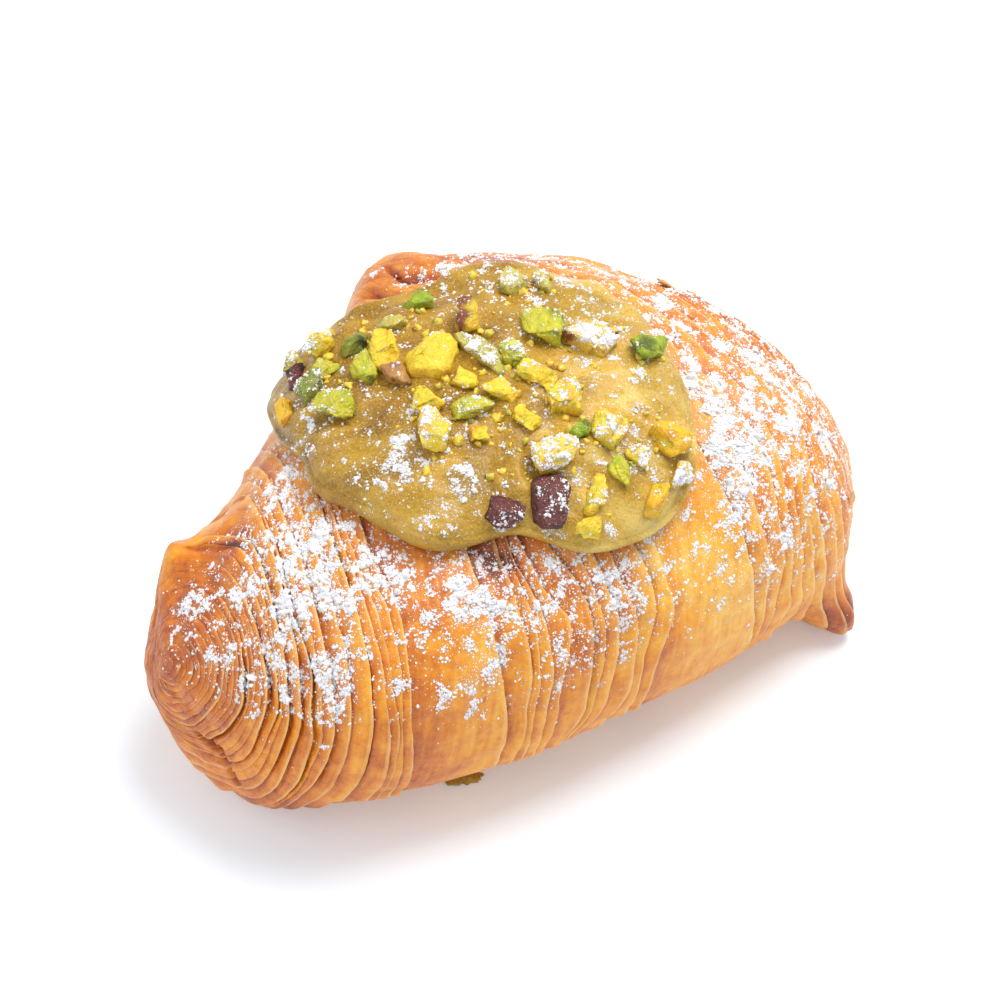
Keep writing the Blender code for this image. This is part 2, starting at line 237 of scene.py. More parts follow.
sugar = {
    # heaps on the dough as x, y, z, radius and strength
    "heaps": (
        (-63, -39, 42, 3, 1), (-52, -41, 49, 3, 1), (-40, -49, 54, 4, 1.4), (-36, -45, 56, 3, 1.1),
        (-31, -51, 55, 3, 1.1), (-50, -58, 42, 3, 0.8), (-34, -61, 48, 4, 1.4), (-33, -65, 44, 3, 1),
        (-41, -63, 42, 2.5, 0.9), (-37, -67, 40, 2, 0.6), (-42, -58, 48, 2, 0.8), (-56, -52, 41, 3, 0.6),
        (-46, -54, 48, 6, 0.4), (-36, -69, 34, 2, 0.5), (-23, -48, 58, 3, 0.9), (-22, -64, 46, 2, 0.7),
        (-46, -21, 55, 4, 0.9), (-40, -36, 57, 4.5, 1.2), (-35, -35, 59, 3, 0.9), (-47, -34, 54, 2, 0.9),
        (-44, -40, 55, 2, 0.9), (-28, -44, 59, 3, 0.7), (-44, -15, 57, 2, 0.7), (-58, -33, 46, 2, 0.5),
        (-24, -42, 60, 4, 0.7), (-11, -49, 57, 3, 0.9), (-6, -51, 54, 4, 1.1), (-4, -43, 59, 3, 0.8),
        (-2, -51, 53, 3, 0.9), (-13, -44, 60, 2, 0.7), (-6, -60, 45, 3.5, 0.7), (-6, -63, 37, 2.5, 0.8),
        (-12, -63, 43, 2, 0.5), (10, -53, 42, 2, 1.1), (10, -55, 37, 2, 1.1), (8, -57, 33, 1.5, 0.8),
        (9, -41, 56, 3, 0.9), (5, -49, 52, 2.5, 0.7), (19, -41, 51, 5, 0.5), (23, -42, 47, 3, 0.38),
        (-2, -57, 46, 2, 0.7), (27, -31, 55, 2.5, 0.75), (27, 20, 66, 3.4, 0.9), (32, 28, 63, 3.4, 0.98),
        (32, 15, 65, 2.5, 0.75), (36, 5, 64, 4, 1.2), (41, 1, 62, 3.2, 1.0), (44, -5, 60, 2.5, 0.6),
        (43, -12, 58, 4.8, 1.4), (47, -10, 57, 3.5, 1.2), (46, -17, 53, 3, 0.95), (45, -21, 51, 3.4, 0.95),
        (51, -8, 55, 2.5, 0.75), (57, 1, 54, 2.5, 0.75), (55, -20, 42, 2.5, 0.68), (64, 3, 47, 2.5, 0.83),
        (65, -5, 44, 2.1, 0.83), (63, -16, 35, 1.7, 0.83), (64, -15, 26, 1.7, 0.83),
        (67, -11, 23, 1.7, 0.52), (51, -25, 38, 2.5, 0.52), (42, -30, 43, 2.1, 0.45),
        (53, 11, 57, 2.1, 0.68), (46, 25, 59, 2.1, 0.6), (50, 17, 58, 2.1, 0.6), (43, 16, 62, 2.1, 0.6),
        (57, 18, 53, 2.1, 0.6), (60, 10, 52, 2.1, 0.52), (21, 28, 65, 2.5, 0.45), (49, 1, 59, 2.5, 0.68),
        # the side away from the viewer
        (-21, 38, 62, 3, 0.7), (-14, 37, 64, 3, 0.8), (-28, 46, 56, 1.5, 0.7), (20, 45, 62, 5, 0.6),
        (8, 52, 58, 4, 0.7), (33, 48, 55, 5, 0.6), (42, 38, 56, 4, 0.6), (-30, 5, 60, 5, 0.9),
        (-36, -6, 58, 4, 0.9), (-10, 38, 60, 4, 0.8), (-22, 20, 60, 4, 0.8), (55, 30, 46, 4, 0.8),
        (27, 58, 45, 4, 0.7),
    ),
    # thin wide dustings: x, y, z, radius and strength
    "dustings": (
        (-44, -48, 50, 17, 0.30), (-38, -28, 56, 14, 0.36), (-10, -50, 54, 18, 0.30),
        (16, -44, 48, 14, 0.36), (38, -10, 58, 18, 0.26), (58, -6, 44, 20, 0.32), (42, 22, 60, 22, 0.28),
        (58, 14, 50, 16, 0.28), (5, 48, 58, 22, 0.24), (-34, 0, 56, 16, 0.28), (36, 46, 50, 18, 0.22),
        (46, -26, 42, 12, 0.22), (30, -36, 50, 11, 0.16), (-60, -42, 40, 8, 0.2),
    ),
}

# browner (above 0) and paler (below 0) places on the dough: x, y, z, radius and amount; partly baked colour,
# partly painted light: painted shade under the cream's near rim and, beside the real browning, on the tip,
# and paler painted light on the side towards the light
bakesAndPaintedLight = (
    (-68, -44, 28, 15, 0.22), (-54, -48, 42, 16, 0.14), (-60, -34, 40, 8, 0.16), (-52, -26, 48, 7, 0.22),
    (-64, -30, 30, 8, 0.05), (-10, -46, 58, 7, 0.16), (-14, -52, 54, 5, 0.12), (-18, -56, 50, 4, -0.12),
    # painted shade just under the cream's near rim
    (12, -44, 55, 5, 0.3), (22, -40, 48, 6, 0.14), (-1, -40, 60, 6, 0.34), (24, -34, 56, 4, 0.3),
    (17, -49, 42, 4, 0.16), (-20, -40, 62, 7, 0.2), (-32, -34, 60, 6, 0.1), (32, -32, 50, 9, -0.16),
    (40, -34, 40, 10, -0.14), (60, -14, 30, 12, -0.06), (48, -30, 28, 10, -0.06), (66, -14, 12, 5, 0.14),
    (71, -9, 9, 4.5, 0.36), (-8, 46, 60, 9, 0.34), (0, 40, 62, 6, 0.18), (38, 40, 57, 12, 0.14),
    (52, 24, 55, 17, 0.10), (66, 4, 44, 9, 0.06), (-46, -64, 10, 9, 0.16), (-4, -60, 12, 12, 0.04),
    (-40, -68, 6, 8, 0.18), (-5, -44, 30, 90, -0.03), (-25, 44, 58, 9, 0.12), (-69, -24, 40, 4, -0.14),
    (-62, -21, 45, 4, -0.14), (-55, -24, 50, 4, -0.12), (-46, -58, 18, 24, 0.10), (-20, -58, 26, 18, 0.08),
    (34, -36, 34, 20, -0.07), (58, -4, 36, 18, -0.05), (29, -35, 50, 8, -0.12),
)


def inSpots(points, spots):
    total = np.zeros(points.shape[:-1])
    for x, y, z, radius, strength in spots:
        off = np.linalg.norm(points - (x, y, z), axis=-1)
        total += strength * np.exp(-((off / radius) ** 2))
    return total


def sugarOn(points, normals, share):  # more dust in the steps behind the lips, none on what hangs over
    dusting = inSpots(points, sugar["dustings"]) * (1 + 0.8 * (1 - share) ** 2)
    total = inSpots(points, sugar["heaps"]) + dusting
    return (1 - np.exp(-1.25 * total)) * np.clip(normals[..., 2] * 1.6 + 0.45, 0, 1)


# materials


def tint(red, green, blue):  # a screen colour as a shader colour
    values = np.array([red, green, blue]) / 255
    return (*np.where(values < 0.04045, values / 12.92, ((values + 0.055) / 1.055) ** 2.4), 1.0)


def node(tree, kind, feeds=None, **settings):
    made = tree.nodes.new(kind)
    for key, value in settings.items():
        setattr(made, key, value)
    for socket, value in (feeds or {}).items():
        if isinstance(value, bpy.types.NodeSocket):
            tree.links.new(value, made.inputs[socket])
        else:
            made.inputs[socket].default_value = value
    return made


def calc(tree, operation, first, second=0.0, third=0.0, clamp=False):
    feeds = {0: first, 1: second, 2: third}
    return node(tree, "ShaderNodeMath", feeds, operation=operation, use_clamp=clamp).outputs[0]


def stretch(tree, vector, scale):
    return node(tree, "ShaderNodeVectorMath", {0: vector, 1: scale}, operation="MULTIPLY").outputs[0]


def noise(tree, vector, scale, detail=2.0, roughness=0.5):
    feeds = {"Vector": vector, "Scale": scale, "Detail": detail, "Roughness": roughness}
    return node(tree, "ShaderNodeTexNoise", feeds).outputs[0]


def ease(tree, value, low, high, start=0.0, end=1.0):
    feeds = {"Value": value, "From Min": low, "From Max": high, "To Min": start, "To Max": end}
    return node(tree, "ShaderNodeMapRange", feeds, interpolation_type="SMOOTHSTEP").outputs[0]


def blend(tree, factor, first, second):
    return node(tree, "ShaderNodeMix", {0: factor, 6: first, 7: second}, data_type="RGBA").outputs[2]


def ramp(tree, value, stops):
    made = node(tree, "ShaderNodeValToRGB", {0: value})
    row = made.color_ramp.elements
    while len(row) < len(stops):
        row.new(0.5)
    for element, (place, colour) in zip(row, stops):
        element.position = place
        element.color = tint(*colour)
    return made.outputs[0]


def named(tree, name, kind="Fac"):
    return node(tree, "ShaderNodeAttribute", attribute_name=name).outputs[kind]


def spot(tree):  # the place in the object, in millimetres
    return stretch(tree, node(tree, "ShaderNodeTexCoord").outputs["Object"], (1000, 1000, 1000))


def newMaterial(name):
    made = bpy.data.materials.new(name)
    made.use_nodes = True
    return made, made.node_tree, made.node_tree.nodes["Principled BSDF"]


def setInputs(shader, values):
    for key, value in values.items():
        shader.inputs[key].default_value = value


def shaderGroup(name, inputs, outputs):
    tree = bpy.data.node_groups.new(name, "ShaderNodeTree")
    for key, kind in inputs:
        tree.interface.new_socket(key, in_out="INPUT", socket_type=kind)
    for key, kind in outputs:
        tree.interface.new_socket(key, in_out="OUTPUT", socket_type=kind)
    return tree, tree.nodes.new("NodeGroupInput").outputs, tree.nodes.new("NodeGroupOutput").inputs


def sugarCover(tree, density, place):  # ragged clumps: the more sugar, the more of the surface they hide
    soft = calc(tree, "SUBTRACT", noise(tree, place, 0.34, 2, 0.5), 0.5)
    rough = calc(tree, "SUBTRACT", noise(tree, place, 1.25, 3, 0.62), 0.5)
    total = calc(tree, "MULTIPLY_ADD", soft, 2.5, calc(tree, "MULTIPLY", density, 0.92))
    total = calc(tree, "MULTIPLY_ADD", rough, 2.5, total)
    cover = ease(tree, total, 0.64, 0.74)
    return rough, calc(tree, "MULTIPLY", cover, ease(tree, density, 0.03, 0.14))


def makeSugarGroup():  # full cover where the sugar is thick, and separate specks where it is thin
    tree, given, out = shaderGroup(
        "powderedSugar",
        (("Density", "NodeSocketFloat"), ("Place", "NodeSocketVector")),
        (("Mask", "NodeSocketFloat"), ("Height", "NodeSocketFloat")),
    )
    density, place = given["Density"], given["Place"]
    rough, cover = sugarCover(tree, density, place)
    mask = cover
    for scale, size, amount in ((1.25, 0.30, 1.0), (2.3, 0.30, 1.2)):  # larger and smaller specks
        cells = node(tree, "ShaderNodeTexVoronoi", {"Vector": place, "Scale": scale})
        here = node(tree, "ShaderNodeSeparateColor", {0: cells.outputs["Color"]}).outputs
        size = calc(tree, "MULTIPLY_ADD", here[1], 0.22, size - 0.12)
        dot = ease(tree, calc(tree, "SUBTRACT", size, cells.outputs["Distance"]), 0.0, 0.07)
        chance = calc(tree, "MULTIPLY", calc(tree, "POWER", density, 1.3), amount)
        dot = calc(tree, "MULTIPLY", dot, calc(tree, "LESS_THAN", here[0], chance))
        mask = calc(tree, "MAXIMUM", mask, dot)
    veil = calc(tree, "MULTIPLY", ease(tree, density, 0.1, 0.9), 0.03)
    tree.links.new(calc(tree, "MAXIMUM", mask, veil), out["Mask"])
    bumpy = calc(tree, "MULTIPLY_ADD", rough, 2.0, 0.8)
    tree.links.new(calc(tree, "MULTIPLY", mask, bumpy), out["Height"])
    return tree


sugarWhite = tint(243, 242, 246)
sugarGroup = makeSugarGroup()


# lays the powdered sugar over a colour, a roughness and a height, and feeds the shader
def dusted(tree, shader, colour, roughness, height, density, place):
    dust = node(tree, "ShaderNodeGroup", node_tree=sugarGroup)
    tree.links.new(density, dust.inputs["Density"])
    tree.links.new(place, dust.inputs["Place"])
    tree.links.new(blend(tree, dust.outputs["Mask"], colour, sugarWhite), shader.inputs["Base Color"])
    rough = calc(tree, "MULTIPLY_ADD", dust.outputs["Mask"], 0.4, roughness, clamp=True)
    tree.links.new(rough, shader.inputs["Roughness"])
    total = calc(tree, "MULTIPLY_ADD", dust.outputs["Height"], 0.35, height)
    bump = node(tree, "ShaderNodeBump", {"Strength": 0.8, "Distance": mm, "Height": total})
    tree.links.new(bump.outputs[0], shader.inputs["Normal"])


crust = {
    # from pale to dark, as (brownness, colour); the brownness carries baking and painted shade
    "colours": (
        (0.0, (251, 213, 122)), (0.22, (243, 180, 62)), (0.42, (230, 147, 30)), (0.58, (208, 115, 20)),
        (0.76, (172, 78, 16)), (1.0, (110, 44, 14)),
    ),
    # pale of a lip: partly the thin dry edge's own colour, partly a painted highlight on its rounded top
    "lip": (252, 214, 138),
    "bake": 0.50,  # toast of the plain dough
    "foot": (0.16, 5),  # how much browner it is beside the floor, and up to what height
    "roughness": 0.43,
    "depth": {
        "Coat Weight": 0.07, "Coat Roughness": 0.28,
        "Subsurface Weight": 0.12, "Subsurface Radius": (1.0, 0.45, 0.15), "Subsurface Scale": 1.4 * mm,
    },
}


def crustMaterial():
    made, tree, shader = newMaterial("crust")
    place, grain = spot(tree), named(tree, "grain", "Vector")
    share, tone = named(tree, "share"), named(tree, "tone")
    fine = noise(tree, stretch(tree, grain, (0.14, 2.2, 1)), 1.0, 3, 0.6)  # faint streaks beside the lips
    broad = noise(tree, stretch(tree, grain, (0.07, 0.7, 1)), 1.0, 2)
    mottle = noise(tree, place, 0.24, 4, 0.62)
    blister = noise(tree, place, 0.85, 3, 0.6)
    fleck = noise(tree, place, 2.6, 2, 0.5)
    brownness = named(tree, "brownness")
    for value, weight in ((fine, 0.10), (broad, 0.34), (mottle, 0.62), (blister, 0.15), (fleck, 0.07)):
        brownness = calc(tree, "MULTIPLY_ADD", calc(tree, "SUBTRACT", value, 0.5), weight, brownness)
    brownness = calc(tree, "MULTIPLY_ADD", tone, 0.045, brownness)
    root = calc(tree, "POWER", calc(tree, "SUBTRACT", 1.0, share), 4.0)  # painted shade: browner in the step behind a lip, under the lip's shadow
    brownness = calc(tree, "MULTIPLY_ADD", root, 0.24, brownness)
    # painted light: paler towards the lip
    brownness = calc(tree, "MULTIPLY_ADD", share, -0.08, brownness)
    # painted shade in the gashes and tucks
    brownness = calc(tree, "ADD", brownness, named(tree, "creaseShade"))
    colour = ramp(tree, brownness, crust["colours"])
    # pale lips: their own paleness with a painted highlight
    pale = calc(tree, "MULTIPLY", named(tree, "lip"), ease(tree, broad, 0.35, 0.6, 0.15, 0.75))
    colour = blend(tree, pale, colour, tint(*crust["lip"]))
    rough = calc(tree, "MULTIPLY_ADD", blister, 0.3, crust["roughness"] - 0.15)
    height = calc(tree, "MULTIPLY", fine, 0.12)
    height = calc(tree, "MULTIPLY_ADD", blister, 0.40, height)
    height = calc(tree, "MULTIPLY_ADD", broad, 0.35, height)
    height = calc(tree, "MULTIPLY_ADD", mottle, 0.9, height)
    dusted(tree, shader, colour, rough, height, named(tree, "sugar"), place)
    setInputs(shader, crust["depth"])
    return made


# the layers of dough

layers = {
    # main lips as (angle, along) points, from the eye of the roll to the mouth
    "lips": {
        "eye": ((0, 0.006),),
        "knob": (
            (6, 0.118), (28, 0.133), (45, 0.136), (55, 0.138), (90, 0.128), (130, 0.098), (190, 0.05),
            (250, 0.06), (300, 0.085), (331, 0.103),
        ),
        "petal1": (
            (11, 0.168), (26, 0.182), (60, 0.176), (98, 0.165), (130, 0.128), (177, 0.07), (250, 0.085),
            (310, 0.108), (331, 0.123), (355, 0.153),
        ),
        "petal2": (
            (10, 0.22), (24, 0.228), (60, 0.215), (98, 0.195), (142, 0.142), (177, 0.086), (250, 0.115),
            (310, 0.125), (335, 0.152), (348, 0.193), (358, 0.215),
        ),
        "petal3": (
            (10, 0.235), (24, 0.245), (60, 0.232), (98, 0.215), (142, 0.158), (177, 0.098), (250, 0.14),
            (315, 0.155), (335, 0.182), (350, 0.218), (359, 0.23),
        ),
        "petal4": (
            (13, 0.263), (23, 0.262), (60, 0.252), (96, 0.244), (134, 0.189), (162, 0.125), (174, 0.105),
            (200, 0.12), (250, 0.17), (315, 0.19), (337, 0.235), (345, 0.245), (359, 0.258),
        ),
        "petal5": (
            (10, 0.279), (19, 0.282), (60, 0.272), (98, 0.268), (124, 0.266), (144, 0.252), (151, 0.222),
            (180, 0.18), (250, 0.215), (320, 0.242), (347, 0.269), (358, 0.273),
        ),
        "petal6": (
            (12, 0.3), (25, 0.293), (43, 0.292), (51, 0.286), (62, 0.278), (98, 0.272), (150, 0.262),
            (250, 0.262), (325, 0.272), (353, 0.292), (3, 0.296),
        ),
        "petal7": (
            (14, 0.323), (40, 0.315), (98, 0.295), (160, 0.292), (250, 0.295), (325, 0.29), (342, 0.299),
            (355, 0.31), (3, 0.319),
        ),
        "petal8": (
            (15, 0.338), (40, 0.334), (98, 0.315), (160, 0.315), (250, 0.32), (325, 0.308), (340, 0.319),
            (353, 0.33), (3, 0.335),
        ),
        "collar": (
            (15, 0.356), (38, 0.356), (52, 0.352), (68, 0.345), (78, 0.339), (120, 0.337), (170, 0.34),
            (250, 0.345), (325, 0.332), (337, 0.34), (351, 0.35), (2, 0.355),
        ),
        "wrist": (
            (0, 0.372), (37, 0.366), (50, 0.361), (75, 0.35), (120, 0.352), (170, 0.36), (250, 0.365),
            (330, 0.365),
        ),
        "shoulder": (
            (0, 0.39), (15, 0.388), (41, 0.387), (52, 0.386), (67, 0.372), (110, 0.374), (170, 0.385),
            (250, 0.39), (345, 0.393),
        ),
        "back": ((0, 0.456), (24, 0.454), (50, 0.452), (120, 0.446), (250, 0.45), (340, 0.453)),
        "waist1": (
            (351, 0.466), (9, 0.472), (20, 0.476), (46, 0.476), (120, 0.47), (250, 0.466), (336, 0.464),
        ),
        "waist2": (
            (1, 0.483), (16, 0.489), (32, 0.491), (45, 0.485), (120, 0.48), (250, 0.48), (347, 0.478),
        ),
        "waist3": (
            (0, 0.492), (9, 0.493), (17, 0.5), (22, 0.505), (28, 0.508), (36, 0.497), (50, 0.492),
            (120, 0.492), (250, 0.49), (346, 0.484),
        ),
        "waist4": (
            (3, 0.512), (14, 0.517), (26, 0.522), (40, 0.519), (51, 0.510), (120, 0.512), (250, 0.508),
            (340, 0.496), (351, 0.503),
        ),
        "belly1": (
            (356, 0.522), (7, 0.533), (21, 0.539), (43, 0.536), (120, 0.532), (250, 0.528), (345, 0.508),
        ),
        "belly2": ((359, 0.540), (16, 0.549), (43, 0.55), (120, 0.55), (250, 0.545), (345, 0.526)),
        "belly3": (
            (7, 0.552), (12, 0.559), (23, 0.565), (42, 0.566), (120, 0.568), (250, 0.562), (345, 0.54),
        ),
        "belly4": ((4, 0.558), (15, 0.572), (30, 0.577), (120, 0.58), (250, 0.57), (345, 0.549)),
        "brow": (
            (1, 0.627), (16, 0.629), (33, 0.634), (45, 0.64), (90, 0.66), (150, 0.655), (250, 0.64),
            (344, 0.627),
        ),
        "mouth1": (
            (341, 0.636), (357, 0.645), (10, 0.655), (27, 0.667), (40, 0.685), (64, 0.71), (90, 0.735),
            (150, 0.72), (250, 0.665),
        ),
        "mouth2": (
            (339, 0.684), (4, 0.684), (20, 0.69), (28, 0.694), (44, 0.745), (64, 0.782), (89, 0.846),
            (120, 0.85), (180, 0.8), (260, 0.72),
        ),
        "mouth3": (
            (0, 0.742), (340, 0.736), (25, 0.76), (60, 0.83), (100, 0.885), (180, 0.86), (260, 0.79),
        ),
        "mouth": ((0, 0.985),),
        "end": ((0, 1.099),),
    },
    # runs of layers up to each lip: layers, step down behind a fine lip, behind the main lip, rings a layer
    "runs": {
        "knob": (9, 0.4, 1.1, 3), "petal1": (4, 0.35, 1.2, 3), "petal2": (4, 0.4, 1.3, 3),
        "petal3": (1, 0.3, 0.8, 4), "petal4": (2, 0.3, 1.3, 4), "petal5": (1, 0.3, 1.1, 5),
        "petal6": (1, 0.3, 1.5, 5), "petal7": (2, 0.3, 1.2, 4), "petal8": (1, 0.3, 1.0, 5),
        "collar": (1, 0.3, 1.1, 6), "wrist": (1, 0.3, 0.6, 5), "shoulder": (3, 0.3, 1.0, 4),
        "back": (1, 0.3, 1.5, 18), "waist1": (1, 0.3, 1.0, 7), "waist2": (2, 0.4, 1.1, 4),
        "waist3": (1, 0.3, 1.3, 6), "waist4": (1, 0.3, 2.0, 7), "belly1": (2, 0.5, 1.0, 4),
        "belly2": (1, 0.3, 1.0, 5), "belly3": (1, 0.3, 1.6, 5), "belly4": (1, 0.3, 0.5, 5),
        "brow": (1, 0.3, 1.5, 18), "mouth1": (2, 0.5, 1.0, 5), "mouth2": (3, 0.7, 1.1, 5),
        "mouth3": (4, 0.8, 1.1, 5), "mouth": (12, 0.6, 0.8, 3), "end": (6, 0.5, 0.2, 4),
    },
    "cuts": ("collar", "waist4", "brow", "end"),  # the lips that end the pieces the dough is made in
    "around": 400,  # points around, closer together where they show
    "thick": 0.42,  # of one leaf at its lip
    "overhang": 0.35,  # how far a lip reaches over the next layer
    "wander": 0.0013,  # unevenness of a lip, along the horn
    "blur": 4,  # degrees over which the course of a lip is rounded
    "near": (-2, 38),  # centre and spread of the side where the petals step boldly
    "firstStep": 0.15,
    "ripples": ((0.35, 26, 3), (0.2, 9, 4)),  # height, size and seed
    "seed": 11,
    "toneSeed": 5,  # how brown each layer is
    # gashes and tucks: from (along, angle) to (along, angle), half width, depth in mm, and how dark their
    # painted shade is
    "tucks": (
        ((0.118, 334), (0.165, 346), 1.3, 1.8, 0.25),
        ((0.165, 346), (0.225, 334), 1.2, 1.6, 0.25),
        ((0.085, 187), (0.18, 141), 1.3, 1.2, 0.22),
        ((0.228, 152), (0.262, 128), 1.4, 1.6, 0.2),
        ((0.292, 30), (0.290, 45), 1.5, 1.0, 0.1),
        ((0.462, 60), (0.470, 40), 1.3, 1.6, 0.3),
        ((0.145, 152), (0.195, 118), 1.0, 0.6, 0.3),
        ((0.195, 118), (0.240, 96), 1.0, 0.8, 0.34),
        ((0.520, 141), (0.545, 122), 1.8, 1.8, 0.34),
        ((0.585, 138), (0.574, 127), 1.3, 1.8, 0.42),
        ((0.574, 127), (0.600, 120), 1.7, 1.8, 0.48),
        ((0.600, 120), (0.625, 112), 1.4, 1.6, 0.4),
        ((0.470, 52), (0.486, 46), 1.6, 1.8, 0.35),
    ),
    # where steps fade out: lips, centre and spread around, how much of a main and of a fine step goes
    "smooth": (
        (("knob", "petal1", "petal2", "petal3"), 152, 84, 0.94, 0.99),  # above the eye of the roll
        (("petal4", "petal5", "petal6"), 150, 40, 0.5, 0.97),
        # the far bulge
        (
            ("waist2", "waist3", "waist4", "belly1", "belly2", "belly3", "belly4", "brow"),
            148, 44, 0.99, 0.99,
        ),
    ),
    # round the nose of a lip and under it: reach and depth in thicknesses, and how pale (the dry edge's own
    # paleness with a painted highlight)
    "nose": ((0.19, 0.10, 1.0), (0.31, 0.45, 1.0), (0.17, 0.9, 0.9), (0, 1.05, 0.0)),
    "inner": (1.5, 3.0),  # how deep the closed inside lies at the least, and what a full horn adds
    "innerRings": 5,
}


def wave(rng, angle, lowest, highest, fall=0.7):  # a seamless random curve around the horn, about -1 to 1
    total, weight = np.zeros_like(angle), 0.0
    for m in range(lowest, highest + 1):
        size = (lowest / m) ** fall
        total += size * np.cos(m * np.radians(angle) + rng.uniform(0, 2 * math.pi))
        weight += size * size
    return total / math.sqrt(weight)


def lipCurve(points, angle):
    turns = np.arange(360.0)
    if len(points) == 1:
        return np.full_like(angle, points[0][1])
    places, values = zip(*sorted((turn % 360, value) for turn, value in points))
    row = np.interp(turns, places, values, period=360)
    blur = bell(turns, 0, layers["blur"])
    row = np.real(np.fft.ifft(np.fft.fft(row) * np.fft.fft(blur / blur.sum())))
    return np.interp(angle, turns, row, period=360)


def ringAngles(count):  # close together on the sides that show, wider apart on the base
    turns = np.linspace(-110, 250, 721)
    weight = np.where((turns > -50) & (turns < 195), 1.0, 0.4)
    total = np.concatenate([[0], np.cumsum((weight[1:] + weight[:-1]) / 2)])
    return np.interp(np.arange(count) / count * total[-1], total, turns)


# the rings of the dough, as rows of level, reach over, depth, share, pale lip (partly painted highlight) and
# layer number, and the cuts
def doughRows(angle):
    rng = np.random.default_rng(layers["seed"])
    near = bell(angle, *layers["near"])
    side = np.clip((np.cos(np.radians(angle - 20)) + 0.9) / 1.2, 0.25, 1)  # lower steps at the back
    names = list(layers["lips"])
    low = lipCurve(layers["lips"]["eye"], angle)
    step, tuck = (np.full_like(angle, layers[key]) for key in ("firstStep", "overhang"))
    rows, cuts, number = [], [], 0
    for before, name in zip(names, names[1:]):
        count, fine, main, body = layers["runs"][name]
        start, end = (lipCurve(layers["lips"][key], angle) for key in (before, name))
        for k in range(1, count + 1):
            number += 1
            last = k == count
            edge = start + (end - start) * k / count
            # a lip wavers in slow and in short waves, and its step and its flare differ around the horn
            sway = wave(rng, angle, 3, 20, 0.9) * (0.7 if last else 1.0)
            sway = sway + 0.14 * wave(rng, angle, 30, 80, 0.3)
            edge = edge + np.minimum(layers["wander"], (end - start) / count * 0.2) * sway
            edge = np.maximum(edge, low + 0.002)
            own = (main if last else fine) * (0.8 + 0.3 * np.clip(wave(rng, angle, 2, 12, 0.5), -1.3, 1.3))
            if not last and name.startswith(("knob", "petal")):
                own = own * (1 - 0.85 * near)
            if last and name.startswith("petal"):
                own = own * (1 + 0.45 * near)
            own = own * side
            for lips, centre, spread, offMain, offFine in layers["smooth"]:
                if name in lips:
                    own = own * (1 - (offMain if last else offFine) * bell(angle, centre, spread, 4))
            if name == "knob":
                own = own * np.clip(0.75 + 0.6 * wave(rng, angle, 4, 16, 0.3), 0.1, 1.3)
            seen = np.clip(own / 0.3, 0, 1)  # 0 where the lip has faded out
            flare = np.clip(wave(rng, angle, 2, 9, 0.4) - 0.5, 0, 1.2) * (0.55 if last else 0.2)
            lift = 0.21 + 0.11 * np.clip(wave(rng, angle, 1, 6, 0.8), -1, 1) * seen**2
            for i in range(body + 1):
                t = i / body
                sink = step * (1 - t) ** 1.8 + 0.10 * seen * max(0.0, (t - 0.85) / 0.15) ** 2
                rise = flare * t**4
                over = -tuck if i == 0 else np.zeros_like(angle)
                shown, lip = 0.6 + (t - 0.6) * seen, 0.8 * seen * (t == 1)
                rows.append((low + (edge - low) * t, over, lift + sink - rise, shown, lip, number))
            thick = np.clip(own * 0.75, 0.03, layers["thick"])
            tuck = layers["overhang"] * (0.05 + 0.95 * seen)
            for reach, deep, pale in layers["nose"]:
                over = reach * thick if reach else -tuck
                deep = lift + 0.1 * seen - flare + thick * deep
                rows.append((edge, over, deep, 0.6 + 0.4 * seen, pale * seen, number))
            low, step = edge, own
        if name in layers["cuts"]:
            cuts.append(len(rows))
    return rows, cuts


def nearLine(level, angle, start, end):  # squared distance from a line over the horn, and its strength there
    (l0, a0), (l1, a1) = start, end
    mmLevel, mmDegree = 260, 0.7  # about what one level and one degree measure
    du, dv = (l1 - l0) * mmLevel, apart(a1, a0) * mmDegree
    pu, pv = (level - l0) * mmLevel, apart(angle, a0) * mmDegree
    t = np.clip((pu * du + pv * dv) / (du * du + dv * dv), 0, 1)
    return (pu - t * du) ** 2 + (pv - t * dv) ** 2, np.sin(math.pi * (0.12 + 0.76 * t))


def shutRings(skin, inside, tip):  # a piece's points and faces, shut between its outside and its inside
    rings, width = len(skin) + len(inside), skin.shape[1]
    points = np.concatenate([skin, inside]).reshape(-1, 3)
    here, back = np.arange(width), (rings - 1) * width
    after = (here + 1) % width
    if tip:  # the tip closes on its eye, outside and in
        points = np.concatenate([points, [skin[0].mean(0)], [inside[-1].mean(0)]])
        outer, inward = (np.full(width, rings * width + k) for k in (0, 1))
        caps = [np.stack([outer, here, after], -1), np.stack([inward, back + after, back + here], -1)]
    else:
        caps = [np.stack([back + here, here, after, back + after], -1)]
    return points, ringQuads(rings, width), caps


